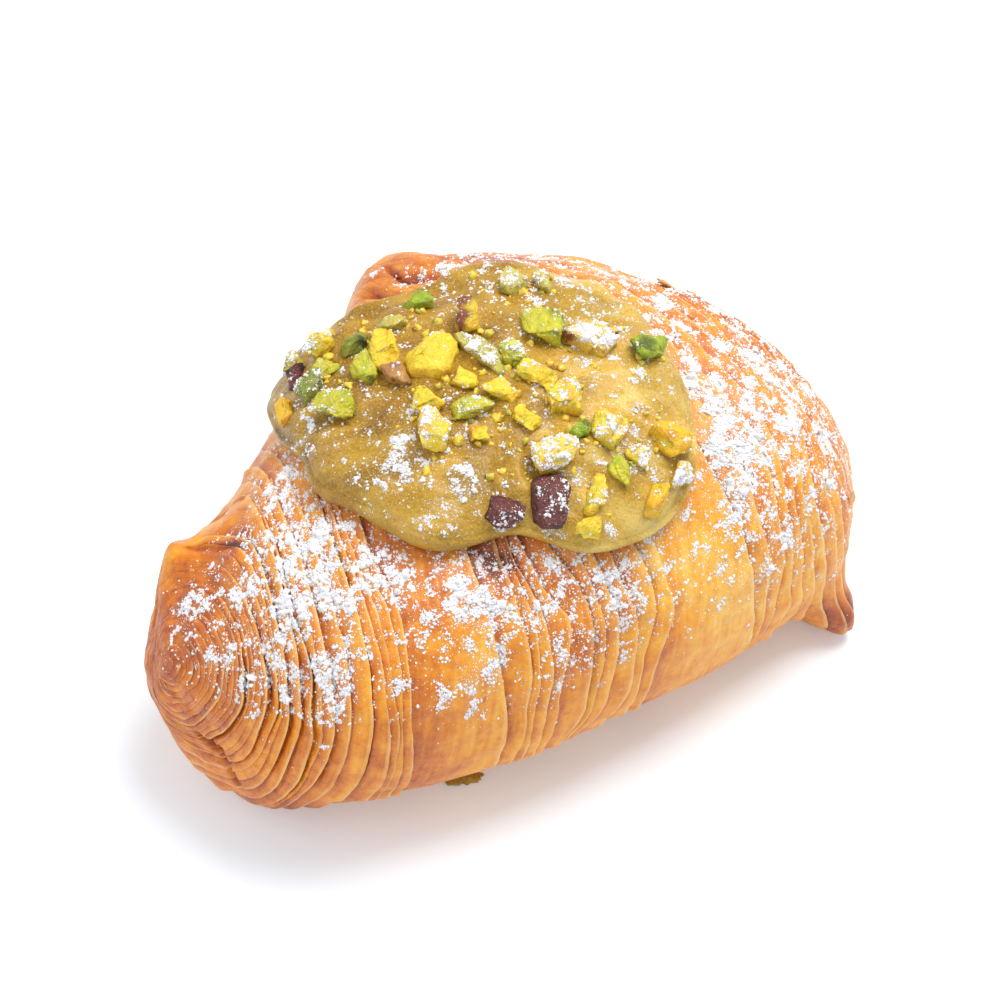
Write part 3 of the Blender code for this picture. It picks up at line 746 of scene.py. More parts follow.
def buildDough(material):
    angle = ringAngles(layers["around"])
    rows, cuts = doughRows(angle)
    level, over, depth, share, lip, number = (
        np.array([np.broadcast_to(row[i], angle.shape) for row in rows], float) for i in range(6)
    )
    turn = np.broadcast_to(angle, level.shape)
    point, normal, forward = doughFrame(level, turn)
    ripple = sum(height * lumps(point, size, seed) for height, size, seed in layers["ripples"])
    # painted shade: the gashes and tucks are darkened as well as dented
    creaseShade = np.zeros_like(level)
    for start, end, width, deep, dark in layers["tucks"]:
        off, strength = nearLine(level, turn, start, end)
        ripple -= deep * strength * np.exp(-off / width**2)
        creaseShade += dark * strength * np.exp(-off / width**2)
    fade = np.clip(level / 0.03, 0.1, 1)
    depth = depth * fade - ripple * fade
    skin = point + forward * (over * fade)[..., None] - normal * depth[..., None]
    skin = np.clip(skin, boxLow, boxHigh)
    aroundMm = np.cumsum(np.linalg.norm(np.diff(skin, axis=1, prepend=skin[:, :1]), axis=-1), axis=1)
    alongMm = np.cumsum(np.linalg.norm(np.diff(point, axis=0, prepend=point[:1]), axis=-1), axis=0)
    tones = np.random.default_rng(layers["toneSeed"]).uniform(-1, 1, int(number.max()) + 2)
    tone = tones[number.astype(int)]
    dust = sugarOn(skin, normal, share)
    browner, height = crust["foot"]
    # brownness: baking, with the painted shade and light of the places above, and browner beside the floor
    brownness = crust["bake"] + inSpots(skin, bakesAndPaintedLight) + browner * np.exp(-((skin[..., 2] / height) ** 2))
    first, width, total = 0, len(angle), 0
    for name, last in zip(("Tip", "Shoulder", "Belly", "Mouth"), cuts):
        part = slice(first, last)
        count = last - first
        back = int(last == len(level))  # a wall goes straight in under a lip, and slopes at the shut mouth
        inner = np.linspace(last - 1, first, layers["innerRings"] + 1 + back).astype(int)[back:-1]
        least, more = layers["inner"]
        deep = more * np.clip(level[inner].mean(1) / 0.15, 0.15, 1) + least
        inside = point[inner] - normal[inner] * deep[:, None, None]
        inside = np.clip(inside, boxLow + 0.4, boxHigh - 0.4)
        shell, faces, caps = shutRings(skin[part], inside, first == 0)
        rings = count + len(inside)
        floats = {}
        for key, values, rest in (
            ("share", share, 0.5), ("lip", lip, 0), ("tone", tone, 0), ("sugar", dust, 0),
            ("brownness", brownness, 0.5), ("creaseShade", creaseShade, 0),
        ):
            hidden = np.full(len(shell) - count * width, float(rest))
            floats[key] = np.concatenate([values[part].ravel(), hidden])
        grain = np.stack([aroundMm[part], alongMm[part], number[part] * 7.3], -1).reshape(-1, 3)
        grain = np.concatenate([grain, np.zeros((len(shell) - len(grain), 3))])
        u, v = pieceMap(angle, alongMm[part].mean(1), rings, faces, width, count)
        corners = [np.stack([u, v], -1).reshape(-1, 2)] + [np.full((cap.size, 2), 0.995) for cap in caps]
        corners, faces = np.concatenate(corners), [faces] + caps
        made = makeObject("dough" + name, shell, faces, material, floats, {"grain": grain}, corners)
        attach(made, "root")
        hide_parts("pastry")
        total += len(shell)
        first = last
    print("dough", total)


# a flat map of a piece in three strips: the near side, the back, and the base
def pieceMap(angle, along, rings, faces, width, count):
    # from angle, to angle, bottom and top on the map
    strips = ((-40, 80, 0.0, 0.41), (80, 200, 0.41, 0.82), (200, 320, 0.82, 0.98))
    ring, place = faces // width, faces % width
    turn = angle[place]
    wrap = (place == 0) & (place.max(1, keepdims=True) > 1)
    turn = np.where(wrap, angle[0] + 360, turn)
    middle = turn.mean(1, keepdims=True)
    shift = np.where(middle < -40, 360, 0)
    turn, middle = turn + shift, middle + shift
    u, v = np.zeros_like(turn), np.zeros_like(turn)
    ratio = np.concatenate([(along - along[0]) / (along[-1] - along[0]), np.full(rings - count, 1.0)])
    for low, high, bottom, top in strips:
        inside = ((middle >= low) & (middle < high)).repeat(4, 1)
        u = np.where(inside, 0.004 + 0.985 * (turn - low) / (high - low), u)
        v = np.where(inside, bottom + 0.006 + (top - bottom - 0.012) * ratio[ring], v)
    hidden = (ring >= count).any(1, keepdims=True).repeat(4, 1)
    u = np.where(hidden, 0.99 + 0.008 * (ring % 2), u)
    v = np.where(hidden, 0.985 + 0.01 * (place % 2), v)
    return np.clip(u, 0, 1), v


buildDough(crustMaterial())


# the pool of pistachio cream

cream = {
    "centre": (-5.9, -6.6),
    "radius": 36.5,
    "stretch": 3.0,  # of its oval, towards the heading
    "heading": -20,
    # bulges and dents of its edge: turn, spread and height
    "bulges": (
        (55, 25, 4.5), (118, 20, -4.5), (150, 18, 3.0), (195, 20, -2.0), (250, 16, 2.5), (283, 14, -4.0),
        (340, 18, 2.5),
    ),
    "thick": 8.6,
    "rim": 4.4,  # thickness where the rim rounds over
    "sink": 0.5,  # how far its underside presses into the layers
    # folds as (x, y) to (x, y), half width, and height (a dent below 0)
    "folds": (
        ((-2.0, -18), (-2.5, -28), 1.0, -0.8), ((-2.5, -28), (0, -37), 1.4, -1.1),
        ((0.5, -17), (1.5, -32), 2.0, 0.6), ((3, -28), (12, -33), 2.2, -1.0),
        ((6, -23), (18, -26), 1.6, 0.7), ((-22, -18), (-8, -24), 2.2, 0.8),
        ((-30, -14), (-14, -20), 1.6, -0.8), ((-36, 2), (-28, 14), 2.2, 1.2),
        ((-38, 8), (-30, 16), 1.2, -0.9), ((-28, 18), (-12, 24), 1.6, 1.3),
        ((-26, 15), (-10, 20), 1.4, -1.2), ((-12, 24), (4, 28), 1.8, 1.0), ((22, 6), (26, 20), 2.6, 0.8),
        ((17, 4), (20, 18), 1.8, -0.7), ((-36, -16), (-22, -32), 1.5, 0.6),
        ((-33, -12), (-18, -28), 1.8, -0.6), ((10, -20), (26, -28), 1.8, 0.7),
        ((24, -12), (32, -22), 1.8, -0.8),
    ),
    "lumps": ((0.45, 13, 31), (0.28, (9, 4, 9), 32), (0.10, (4, 1.8, 4), 33)),  # height, size and seed
    "seed": 21,  # of its edge
    "around": 320,
    "rings": 84,
    "under": (0.05, 0.25, 0.5, 0.7, 0.82, 0.90, 0.955),  # rings of the underside, as shares of the reach
    "rimRings": 13,
}


def creamReach(turn):
    reach = cream["radius"] + cream["stretch"] * np.cos(2 * np.radians(turn - cream["heading"]))
    for place, spread, height in cream["bulges"]:
        reach = reach + height * bell(turn, place, spread)
    return reach


def hornTree():  # the smooth skin of the horn, to lay the cream on
    rings, around = 90, 96
    along, angle = np.linspace(0, 1, rings), np.arange(around) * 360 / around
    points = hornPoint(*np.meshgrid(along, angle, indexing="ij")).reshape(-1, 3)
    return BVHTree.FromPolygons(points.tolist(), ringQuads(rings, around).tolist())


def heightField(tree, low, high):  # heights of a skin seen from above, with holes filled in
    step, above, down = 1.0, 200, Vector((0, 0, -1))
    xs, ys = np.arange(low[0], high[0], step), np.arange(low[1], high[1], step)
    field = np.full((len(xs), len(ys)), np.nan)
    for i, x in enumerate(xs):
        for j, y in enumerate(ys):
            hit = tree.ray_cast(Vector((x, y, above)), down)[0]
            if hit is not None:
                field[i, j] = hit.z
    field = np.where(np.isnan(field), np.nanmin(field), field)
    return xs, ys, field


def readField(field, x, y):  # the height and the upward normal at plan places
    xs, ys, values = field
    step = xs[1] - xs[0]

    def at(px, py):
        u = np.clip((px - xs[0]) / step, 0, len(xs) - 1.001)
        v = np.clip((py - ys[0]) / step, 0, len(ys) - 1.001)
        i, j = u.astype(int), v.astype(int)
        u, v = u - i, v - j
        low = values[i, j] * (1 - v) + values[i, j + 1] * v
        high = values[i + 1, j] * (1 - v) + values[i + 1, j + 1] * v
        return low * (1 - u) + high * u

    span = 2.0  # the slope is read over this far each way
    east, north = at(x + span, y) - at(x - span, y), at(x, y + span) - at(x, y - span)
    normal = np.stack([-east, -north, np.full_like(east, 2 * span)], -1)
    return at(x, y), normal / np.linalg.norm(normal, axis=-1, keepdims=True)


def lineDistance(x, y, start, end):
    (x0, y0), (x1, y1) = start, end
    t = np.clip(((x - x0) * (x1 - x0) + (y - y0) * (y1 - y0)) / ((x1 - x0) ** 2 + (y1 - y0) ** 2), 0, 1)
    return (x - x0 - t * (x1 - x0)) ** 2 + (y - y0 - t * (y1 - y0)) ** 2


def creamMap(faces, caps, rings, around):  # a flat map: a disc of the top, and a small disc of the underside
    low, (topX, topY), (underX, underY) = len(cream["under"]), (0.37, 0.37), (0.865, 0.135)
    ring, place = faces // around, faces % around
    wrap = (place == 0) & (place.max(1, keepdims=True) == around - 1)
    turns = np.radians(np.where(wrap, around, place) * 360 / around)
    under = (ring.min(1) < low).repeat(4).reshape(-1, 4)
    radius = np.where(under, ring / low * 0.12, (1 - (ring - low) / (rings - low)) * 0.355 + 0.002)
    u = np.where(under, underX, topX) + radius * np.cos(turns)
    v = np.where(under, underY, topY) + radius * np.sin(turns)
    poles = [np.full((cap.size, 2), pole) for cap, pole in zip(caps, ((underX, underY), (topX, topY)))]
    return np.concatenate([np.stack([u, v], -1).reshape(-1, 2), *poles])


def buildCream(material):
    turn = np.arange(cream["around"]) * 360 / cream["around"]
    rng = np.random.default_rng(cream["seed"])
    reach = creamReach(turn) + 0.5 * wave(rng, turn, 5, 16, 0.5)
    plump = 1 + 0.16 * wave(rng, turn, 3, 12, 0.5)
    profile = [(share, 0.0) for share in cream["under"]]
    rimRings = cream["rimRings"]
    for k in range(rimRings):  # round the rim, from its underside to the top
        bend = math.radians(-80 + 160 * k / (rimRings - 1))
        profile.append((0.985 + 0.055 * math.cos(bend), cream["rim"] * (0.5 + 0.5 * math.sin(bend))))
    topRings = cream["rings"] - len(profile)
    for k in range(1, topRings):
        share = 0.99 * (1 - k / topRings) + 0.004
        swell = math.sqrt(max(1 - share**2.6, 0))
        profile.append((share, cream["rim"] + (cream["thick"] - cream["rim"]) * swell))
    share, thick = (np.array(column)[:, None] for column in zip(*profile))
    inner = np.minimum(share, 1.0) * reach
    c, s = np.cos(np.radians(turn)), np.sin(np.radians(turn))
    x, y = cream["centre"][0] + inner * c, cream["centre"][1] + inner * s
    z, normal = readField(hornField, x, y)
    over = (share - np.minimum(share, 1.0)) * reach
    out = np.stack([over * c, over * s, np.zeros_like(over)], -1)
    top = np.clip((thick - 2.5) / 2.5, 0, 1)  # 0 at the foot of the rim, 1 on top
    swollen = thick + cream["rim"] * (plump - 1) * share**6
    thick = np.where(thick < cream["rim"] * 1.02, thick * plump, swollen)
    for start, end, width, height in cream["folds"]:
        thick = thick + height * top * np.exp(-lineDistance(x, y, start, end) / width**2)
    flat = np.stack([x, y, z], -1)
    thick = thick + top * sum(height * lumps(flat, size, seed) for height, size, seed in cream["lumps"])
    skin = flat + normal * (thick - cream["sink"])[..., None] + out
    # random tone, with painted light: lighter towards the mouth and along the near rim, where the light
    # falls
    shade = lumps(flat, (12, 6, 12), 34) + 3.6 * np.clip((x + 4) / 26, 0, 1)
    shade = shade + 1.2 * np.clip(-(y + 22) / 12, 0, 1) - 0.4
    rings, around = skin.shape[:2]
    faces = ringQuads(rings, around)[:, ::-1]
    ends = np.arange(around)
    last = (rings - 1) * around
    caps = [
        np.stack([np.full(around, rings * around), (ends + 1) % around, ends], -1),
        np.stack([np.full(around, rings * around + 1), last + ends, last + (ends + 1) % around], -1),
    ]
    points = np.concatenate([skin.reshape(-1, 3), [skin[0].mean(0)], [skin[-1].mean(0)]])
    dust = creamSugar(skin, normal) * top
    floats = {
        "sugar": np.concatenate([dust.ravel(), [0, 0]]),
        "shade": np.concatenate([shade.ravel(), [0, 0]]),
    }
    corners = creamMap(faces, caps, rings, around)
    made = makeObject("cream", points, [faces] + caps, material, floats, None, corners)
    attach(made, "root")
    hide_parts("pistachio_cream")
    print("cream", len(points))
    return made


creamDust = {
    # from above: x, y, radius and strength
    "heaps": (
        (-39, -7, 2.3, 1.3), (-28, -7, 1.9, 0.7), (-21, -24, 2.3, 1.0), (-20, -28, 2.7, 1.2),
        (-19, -16, 1.7, 0.8), (-24, -32, 2.1, 1.0), (-30, -29, 1.7, 0.6), (-8, -34, 3.1, 1.2),
        (-16, -41, 2.1, 1.0), (-12, -38, 1.5, 0.7), (2, -22, 1.7, 0.9), (-9, -23, 2.1, 1.2),
        (-6, -18, 1.5, 0.6), (20, -2, 1.5, 0.7), (26, -4, 1.5, 0.8), (14, -4, 1.7, 0.6),
        (23, -25, 2.5, 1.2), (26, -20, 1.9, 0.9), (8, -38, 1.9, 1.2), (10, -30, 1.9, 0.8),
        (-35, -16, 2.1, 0.4), (-28, -37, 2.1, 0.5), (-41, -15, 2.1, 0.4), (13, -31, 1.7, 0.6),
        (19, -38, 1.5, 0.4), (29, -26, 1.9, 0.7), (33, -17, 1.8, 0.8), (22, 6, 1.9, 0.5),
        (16, 14, 1.9, 0.6), (10, 23, 1.9, 0.5), (29, 7, 1.7, 0.6), (-13, -28, 1.7, 0.7),
        (-2, -41, 1.5, 0.5), (-9, -43, 1.7, 0.4), (-33, 23, 1.5, 0.3), (-22, 7, 1.2, 0.3),
        (-13, 28, 1.7, 0.35), (2, 14, 1.7, 0.3), (25, -12, 1.7, 0.5),
    ),
    "dustings": (
        (-30, -10, 16, 0.22), (-16, -30, 14, 0.26), (0, 6, 18, 0.18), (18, -20, 16, 0.26),
        (22, 10, 14, 0.30), (-8, 22, 16, 0.22),
    ),
}


def creamSugar(points, normals):
    total = np.zeros(points.shape[:-1])
    for x, y, radius, strength in creamDust["heaps"] + creamDust["dustings"]:
        off = (points[..., 0] - x) ** 2 + (points[..., 1] - y) ** 2
        total += strength * np.exp(-off / radius**2)
    return (1 - np.exp(-1.0 * total)) * np.clip(normals[..., 2] * 1.4, 0, 1)


creamLook = {
    "colours": (
        (0.0, (110, 72, 12)), (0.3, (164, 119, 24)), (0.5, (193, 147, 37)), (0.75, (217, 173, 60)),
        (1.0, (245, 212, 114)),
    ),
    "grain": (230, 192, 54),
    "roughness": 0.30,
    "depth": {
        "Coat Weight": 0.3, "Coat Roughness": 0.2,
        "Subsurface Weight": 0.15, "Subsurface Radius": (1.0, 0.7, 0.25), "Subsurface Scale": 1.5 * mm,
    },
}


def creamMaterial():
    made, tree, shader = newMaterial("pistachioCream")
    place = spot(tree)
    grit = noise(tree, place, 1.9, 4, 0.72)
    patch = noise(tree, place, 0.10, 2, 0.5)
    swirl = noise(tree, stretch(tree, place, (0.09, 0.22, 0.16)), 1.0, 3, 0.55)
    value = calc(tree, "MULTIPLY_ADD", swirl, 0.8, 0.08)
    # painted light and random tone from the shade attribute
    value = calc(tree, "MULTIPLY_ADD", named(tree, "shade"), 0.10, value)
    value = calc(tree, "MULTIPLY_ADD", calc(tree, "SUBTRACT", grit, 0.5), 0.9, value)
    colour = ramp(tree, value, creamLook["colours"])
    bright = calc(tree, "MULTIPLY", ease(tree, grit, 0.52, 0.66), ease(tree, patch, 0.38, 0.60, 0.1, 0.7))
    colour = blend(tree, bright, colour, tint(*creamLook["grain"]))
    rough = calc(tree, "MULTIPLY_ADD", grit, 0.3, creamLook["roughness"] - 0.12)
    coarse = calc(tree, "MULTIPLY", grit, ease(tree, patch, 0.38, 0.60, 0.7, 1.5))
    height = calc(tree, "MULTIPLY_ADD", swirl, 0.9, coarse)
    dusted(tree, shader, colour, rough, height, named(tree, "sugar"), place)
    setInputs(shader, creamLook["depth"])
    return made


hornField = heightField(hornTree(), (-52, -54), (44, 44))
creamObject = buildCream(creamMaterial())


# chopped pistachios

kernels = {
    # place on the cream, length, width, heading, colour and how sugared
    "pieces": (
        (-37.4, 14.4, 8.5, 3.6, -25, "yellow", 0.2), (-37.7, 7.4, 5.8, 5.2, 10, "yellow", 0.8),
        (-42.5, 3.4, 5.5, 3.4, 70, "purple", 0.2), (-43.4, 10.2, 5.8, 4.0, 100, "olive", 0.6),
        (-44.5, -3.6, 8.0, 3.6, 108, "orange", 0.2), (-30.5, 4.9, 5.4, 5.0, 10, "dark", 0.1),
        (-35.9, 1.2, 4.6, 3.8, 30, "lime", 0.1), (-38.5, -4.4, 6.0, 4.6, 20, "dark", 0.6),
        (-33.1, -10.2, 7.0, 6.0, -20, "lime", 0.3), (-28.9, -3.6, 8.0, 4.6, 108, "lime", 0.1),
        (-24.5, 0.6, 9.5, 4.8, 100, "yellow", 0.1), (-21.7, -7.2, 6.4, 4.4, 112, "pink", 0.2),
        (-22.9, 8.6, 4.6, 3.8, 150, "olive", 0.2), (-15.5, -3.4, 9.2, 8.0, 75, "yellow", 0.2),
        (-18.5, 14.4, 5.4, 4.4, 20, "green", 0.1), (-7.9, 6.6, 8.0, 5.8, 108, "brown", 0.2),
        (-5.3, -2.8, 11.5, 3.4, 132, "olive", 0.9), (-9.1, -9.2, 6.0, 3.8, 145, "yellow", 0.2),
        (0.7, -4.0, 5.6, 4.0, 112, "lime", 0.8), (-16.3, -15.0, 6.8, 5.4, 110, "yellow", 0.2),
        (-14.3, -23.6, 8.8, 5.4, 80, "yellow", 0.6), (-7.3, -18.0, 7.8, 3.8, 18, "lime", 0.6),
        (-6.1, -24.4, 4.2, 3.2, 100, "yellow", 0.1), (-1.7, -13.2, 6.4, 4.2, 165, "yellow", 0.2),
        (5.3, -9.4, 7.8, 3.6, 140, "yellow", 0.2), (9.7, -15.1, 8.2, 6.6, 35, "yellow", 0.4),
        (0.9, 19.0, 6.4, 4.6, 98, "olive", 0.6), (6.5, 19.8, 5.0, 3.8, 102, "olive", 0.6),
        (6.5, 4.0, 8.2, 7.0, 95, "lime", 0.2), (15.1, 1.8, 8.2, 6.4, 150, "brown", 0.95),
        (27.5, 2.0, 6.2, 4.8, 15, "green", 0.1), (2.7, -19.8, 5.0, 4.0, 145, "yellow", 0.1),
        (13.1, -21.4, 3.8, 3.0, 35, "green", 0.1), (8.1, -26.2, 8.0, 6.4, 30, "yellow", 0.7),
        (18.7, -20.6, 8.2, 5.8, 80, "yellow", 0.8), (30.5, -18.6, 8.2, 5.4, 150, "orange", 0.2),
        (27.9, -29.8, 7.4, 4.0, 98, "orange", 0.2), (32.1, -24.0, 5.2, 3.4, 60, "yellow", 0.9),
        (20.9, -28.0, 5.8, 3.0, 125, "lime", 0.1), (16.3, -32.8, 7.4, 3.8, 95, "yellow", 0.3),
        (15.1, -37.8, 5.0, 3.8, 10, "yellow", 0.2), (24.7, -24.2, 5.2, 3.4, 135, "yellow", 0.95),
        (7.5, -35.0, 9.0, 6.2, 105, "purple", 0.5), (-0.9, -37.6, 6.4, 5.2, 135, "purple", 0.6),
    ),
    # colour of the cut side, colour of the skin, and how much skin is left
    "colours": {
        "yellow": ((250, 212, 56), (212, 160, 44), 0.4), "orange": ((246, 192, 36), (216, 146, 34), 0.5),
        "olive": ((206, 190, 92), (158, 132, 60), 0.5), "lime": ((206, 198, 54), (126, 128, 36), 0.5),
        "green": ((160, 176, 44), (88, 106, 28), 0.5), "dark": ((146, 150, 52), (62, 66, 34), 0.62),
        "purple": ((108, 48, 54), (54, 18, 34), 0.85), "pink": ((196, 142, 80), (146, 84, 66), 0.7),
        "brown": ((238, 196, 60), (128, 66, 34), 0.5),
    },
    "thick": 0.75,  # of the width
    "sunk": 0.22,  # share of the thickness pressed into the cream
    "cuts": 8,  # flat faces where the knife went
    "walls": (0.42, 0.78),  # how far from the middle they lie, least and most
    "bites": 5,  # hollows where it broke
    "biteDepth": (0.12, 0.32),
    "biteReach": (0.4, 0.75),
    "depth": {"Subsurface Weight": 0.2, "Subsurface Radius": (1.0, 0.8, 0.2), "Subsurface Scale": 1.0 * mm},
}


def kernelShape(sphere, length, width, seed):
    rng = np.random.default_rng(seed)
    half = np.array([length, width, width * kernels["thick"]]) / 2
    shape = np.sign(sphere) * np.abs(sphere) ** 0.5
    cut = np.zeros(len(shape))
    for _ in range(kernels["cuts"]):
        turn = rng.normal(size=3)
        turn /= np.linalg.norm(turn)
        wall = rng.uniform(*kernels["walls"]) * (np.abs(turn) @ np.ones(3)) ** 0.5
        past = shape @ turn - wall
        cut = np.maximum(cut, np.clip(past * 6, 0, 1))
        shape = shape - np.outer(np.maximum(past, 0), turn)
    for _ in range(kernels["bites"]):
        place = rng.normal(size=3)
        off = np.linalg.norm(sphere - place / np.linalg.norm(place), axis=1)
        bite = rng.uniform(*kernels["biteDepth"])
        bite = bite * np.clip(1 - (off / rng.uniform(*kernels["biteReach"])) ** 2, 0, 1)
        shape = shape * (1 - bite)[:, None]
        cut = np.maximum(cut, np.clip(bite * 8, 0, 1))
    shape = shape / np.abs(shape).max(0) * half * 1.2
    rough = 0.14 * lumps(shape, 3.4, seed + 1) + 0.08 * lumps(shape, 0.7, seed + 3)
    rough += 0.34 * np.abs(lumps(shape, 2.2, seed + 2)) - 0.2
    shape += sphere * rough[:, None]
    return shape, cut


def kernelColours(shape, cut, thick, kind, index):
    flesh, hull, left = kernels["colours"][kind]
    flesh, hull = np.array(tint(*flesh)[:3]), np.array(tint(*hull)[:3])
    skin = np.clip((lumps(shape, 5.0, 300 + index) * 0.5 + 0.5 - (1 - left)) * 6, 0, 1) * (1 - cut)
    mixed = flesh + (hull - flesh) * skin[:, None]
    green = np.clip(lumps(shape, 3.2, 700 + index) * 0.8, 0, 1)[:, None] * (1 - skin[:, None])
    mixed = mixed * (1 - green) + mixed * (0.70, 0.90, 0.5) * green
    mixed = mixed * (1 + 0.12 * lumps(shape, 1.6, 500 + index))[:, None]
    foot = np.clip(0.1 - shape[:, 2] / thick, 0, 0.6)[:, None]  # painted shade: darker where it sinks into the cream
    return mixed * (1 - foot * (0.4, 0.5, 0.7))


def buildKernels(material):
    sphere, corners = icoBall(4)
    groups = [[], [], []]
    for index, (x, y, length, width, heading, kind, dust) in enumerate(kernels["pieces"]):
        shape, cut = kernelShape(sphere, length, width, 100 + index)
        z, normal = (np.ravel(value) for value in readField(creamField, np.array([x]), np.array([y])))
        side = np.cross(normal, (math.cos(math.radians(heading)), math.sin(math.radians(heading)), 0))
        side /= np.linalg.norm(side)
        ahead = np.cross(side, normal)
        lift = width * kernels["thick"] * (0.5 - kernels["sunk"])
        turned = shape[:, :1] * ahead + shape[:, 1:2] * side + shape[:, 2:] * normal
        points = turned + np.array([x, y, z[0]]) + normal * lift
        up = np.clip((shape[:, 2] / (width * kernels["thick"] * 0.5)) + 0.2, 0, 1)
        flesh = kernelColours(shape, cut, width * kernels["thick"], kind, index)
        groups[index % 3].append((points, 0.8 * dust * up, flesh))
    for number, group in enumerate(groups, start=1):
        faces = np.concatenate([corners + k * len(sphere) for k in range(len(group))])
        points, dust, flesh = (np.concatenate(column) for column in zip(*group))
        name = f"pistachios{number}"
        made = makeObject(name, points, [faces], material, {"sugar": dust}, {"flesh": flesh})
        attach(made, "root")
        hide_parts(*(f"pistachio_{k:02d}" for k in range(number, len(kernels["pieces"]) + 1, 3)))
    print("pistachios", len(kernels["pieces"]))


def kernelMaterial():
    made, tree, shader = newMaterial("pistachioKernel")
    place = spot(tree)
    speck = noise(tree, place, 2.2, 3, 0.6)
    colour = named(tree, "flesh", "Color")
    colour = blend(tree, ease(tree, speck, 0.55, 0.75, 0, 0.35), colour, tint(250, 222, 120))
    colour = blend(tree, ease(tree, speck, 0.25, 0.42, 0.35, 0), colour, tint(120, 96, 40))
    rough = calc(tree, "MULTIPLY_ADD", speck, 0.25, 0.32)
    height = calc(tree, "MULTIPLY_ADD", noise(tree, place, 0.9, 2), 1.1, calc(tree, "MULTIPLY", speck, 0.6))
    dusted(tree, shader, colour, rough, height, named(tree, "sugar"), place)
    setInputs(shader, kernels["depth"])
    return made


creamPoints = [tuple(v.co / mm) for v in creamObject.data.vertices]
creamTree = BVHTree.FromPolygons(creamPoints, [tuple(p.vertices) for p in creamObject.data.polygons])
creamField = heightField(creamTree, (-52, -50), (42, 40))
buildKernels(kernelMaterial())


# loose crisp flakes lying on the layers

flakes = {
    # along and angle on the horn, length, width, heading across the layers, lift of its far end, curl
    "pieces": (
        (0.872, 91, 5.5, 2.6, 8, 0.9, 0.25), (0.858, 90, 4.0, 2.2, -20, 0.5, 0.4),
        (0.886, 86, 3.4, 2.0, 40, 0.6, 0.3), (0.768, 11, 3.0, 2.6, 84, 0.8, 0.2),
    ),
    "thick": 0.35,
    "brownness": (0.36, 0.6),  # palest and brownest
    "across": 13,  # points over the length and the width
    "down": 9,
}


def buildFlakes(material):
    # a thin curled leaf each: an upper and a lower skin that meet all round
    across, down = (np.linspace(-1, 1, flakes[key]) for key in ("across", "down"))
    u, v = np.meshgrid(across, down, indexing="ij")
    count = u.size
    grid = np.arange(count).reshape(u.shape)
    top = np.stack([grid[:-1, :-1], grid[1:, :-1], grid[1:, 1:], grid[:-1, 1:]], -1).reshape(-1, 4)
    border = np.concatenate([grid[:, 0], grid[-1, 1:], grid[-2::-1, -1], grid[0, -2:0:-1]])
    after = np.roll(border, -1)
    side = np.stack([border, border + count, after + count, after], -1)
    points, faces, toasts = [], [], []
    for index, (along, angle, length, width, heading, lift, curl) in enumerate(flakes["pieces"]):
        place = doughFrame(np.array([along]), np.array([float(angle)]))
        base, normal, forward = (np.squeeze(value) for value in place)
        sideways = np.cross(normal, forward)
        turn = math.radians(heading)
        ahead = forward * math.sin(turn) + sideways * math.cos(turn)
        cross = np.cross(normal, ahead)
        rng = np.random.default_rng(900 + index)
        edge = 1 + 0.12 * np.sin(u * 5 + rng.uniform(0, 6)) * np.abs(v)
        edge = edge + 0.1 * np.sin(v * 7 + rng.uniform(0, 6)) * np.abs(u)
        x = u * np.sqrt(1 - 0.45 * v**2) * edge * length / 2
        y = v * np.sqrt(1 - 0.45 * u**2) * edge * width / 2
        z = 0.1 + lift * (0.5 + 0.5 * u) ** 2 + curl * v**2 - 0.25 * u**2
        thin = flakes["thick"] * np.sqrt(np.clip(1 - np.maximum(np.abs(u), np.abs(v)) ** 4, 0.15, 1))
        flat = base + x[..., None] * ahead + y[..., None] * cross
        skins = [flat + (z + sign * thin / 2)[..., None] * normal for sign in (1, -1)]
        start = len(points) * 2 * count
        points.append(np.concatenate(skins).reshape(-1, 3))
        faces.append(np.concatenate([top, (top + count)[:, ::-1], side[:, ::-1]]) + start)
        toasts.append(np.full(2 * count, rng.uniform(*flakes["brownness"])))
    points = np.clip(np.concatenate(points), boxLow, boxHigh)
    rest = {
        "share": np.full(len(points), 0.8), "lip": np.full(len(points), 0.2), "tone": np.zeros(len(points)),
        "sugar": np.full(len(points), 0.3), "brownness": np.concatenate(toasts), "creaseShade": np.zeros(len(points)),
    }
    made = makeObject("flakes", points, [np.concatenate(faces)], material, rest, {"grain": points})
    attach(made, "root")
    print("flakes", len(flakes["pieces"]))


buildFlakes(bpy.data.materials["crust"])


# the drop of cream pressed out under the near side

smear = {"place": (-9.5, -47.2, 0.9), "size": (9.0, 3.6, 1.9), "heading": 3}


def buildSmear(material):
    sphere, corners = icoBall(5)
    shape = sphere * np.array(smear["size"]) / 2
    shape = shape * (1 + 0.22 * lumps(shape, 3.5, 71) + 0.10 * lumps(shape, 1.3, 72))[:, None]
    turn = math.radians(smear["heading"])
    c, s = math.cos(turn), math.sin(turn)
    points = shape @ np.array([[c, s, 0], [-s, c, 0], [0, 0, 1]]) + smear["place"]
    points[:, 2] = np.maximum(points[:, 2], 0.05)
    rest = {"sugar": np.zeros(len(points)), "shade": lumps(points, 4, 73)}
    made = makeObject("creamDrop", points, [corners], material, rest)
    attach(made, "root")
    print("drop of cream", len(points))


buildSmear(bpy.data.materials["pistachioCream"])


# grains of sugar and crumbs of pistachio, scattered by geometry nodes

grains = {
    "amount": 8.0,  # in a square millimetre where the cover is full
    "lone": 0.3,  # in a square millimetre where it is thin
    "small": 0.14,  # radius
    "large": 0.52,
    "seed": 40,
    "pick": 77,  # seed of which are kept
    "colours": ((232, 232, 238), (250, 250, 252)),
    # name, what it lies on, and how many at most
    "pieces": (
        ("sugarTip", ("doughTip",), 24000), ("sugarSide", ("doughShoulder", "doughBelly"), 24000),
        ("sugarMouth", ("doughMouth",), 24000),
        ("sugarTop", ("cream", "pistachios1", "pistachios2", "pistachios3"), 20000),
    ),
}

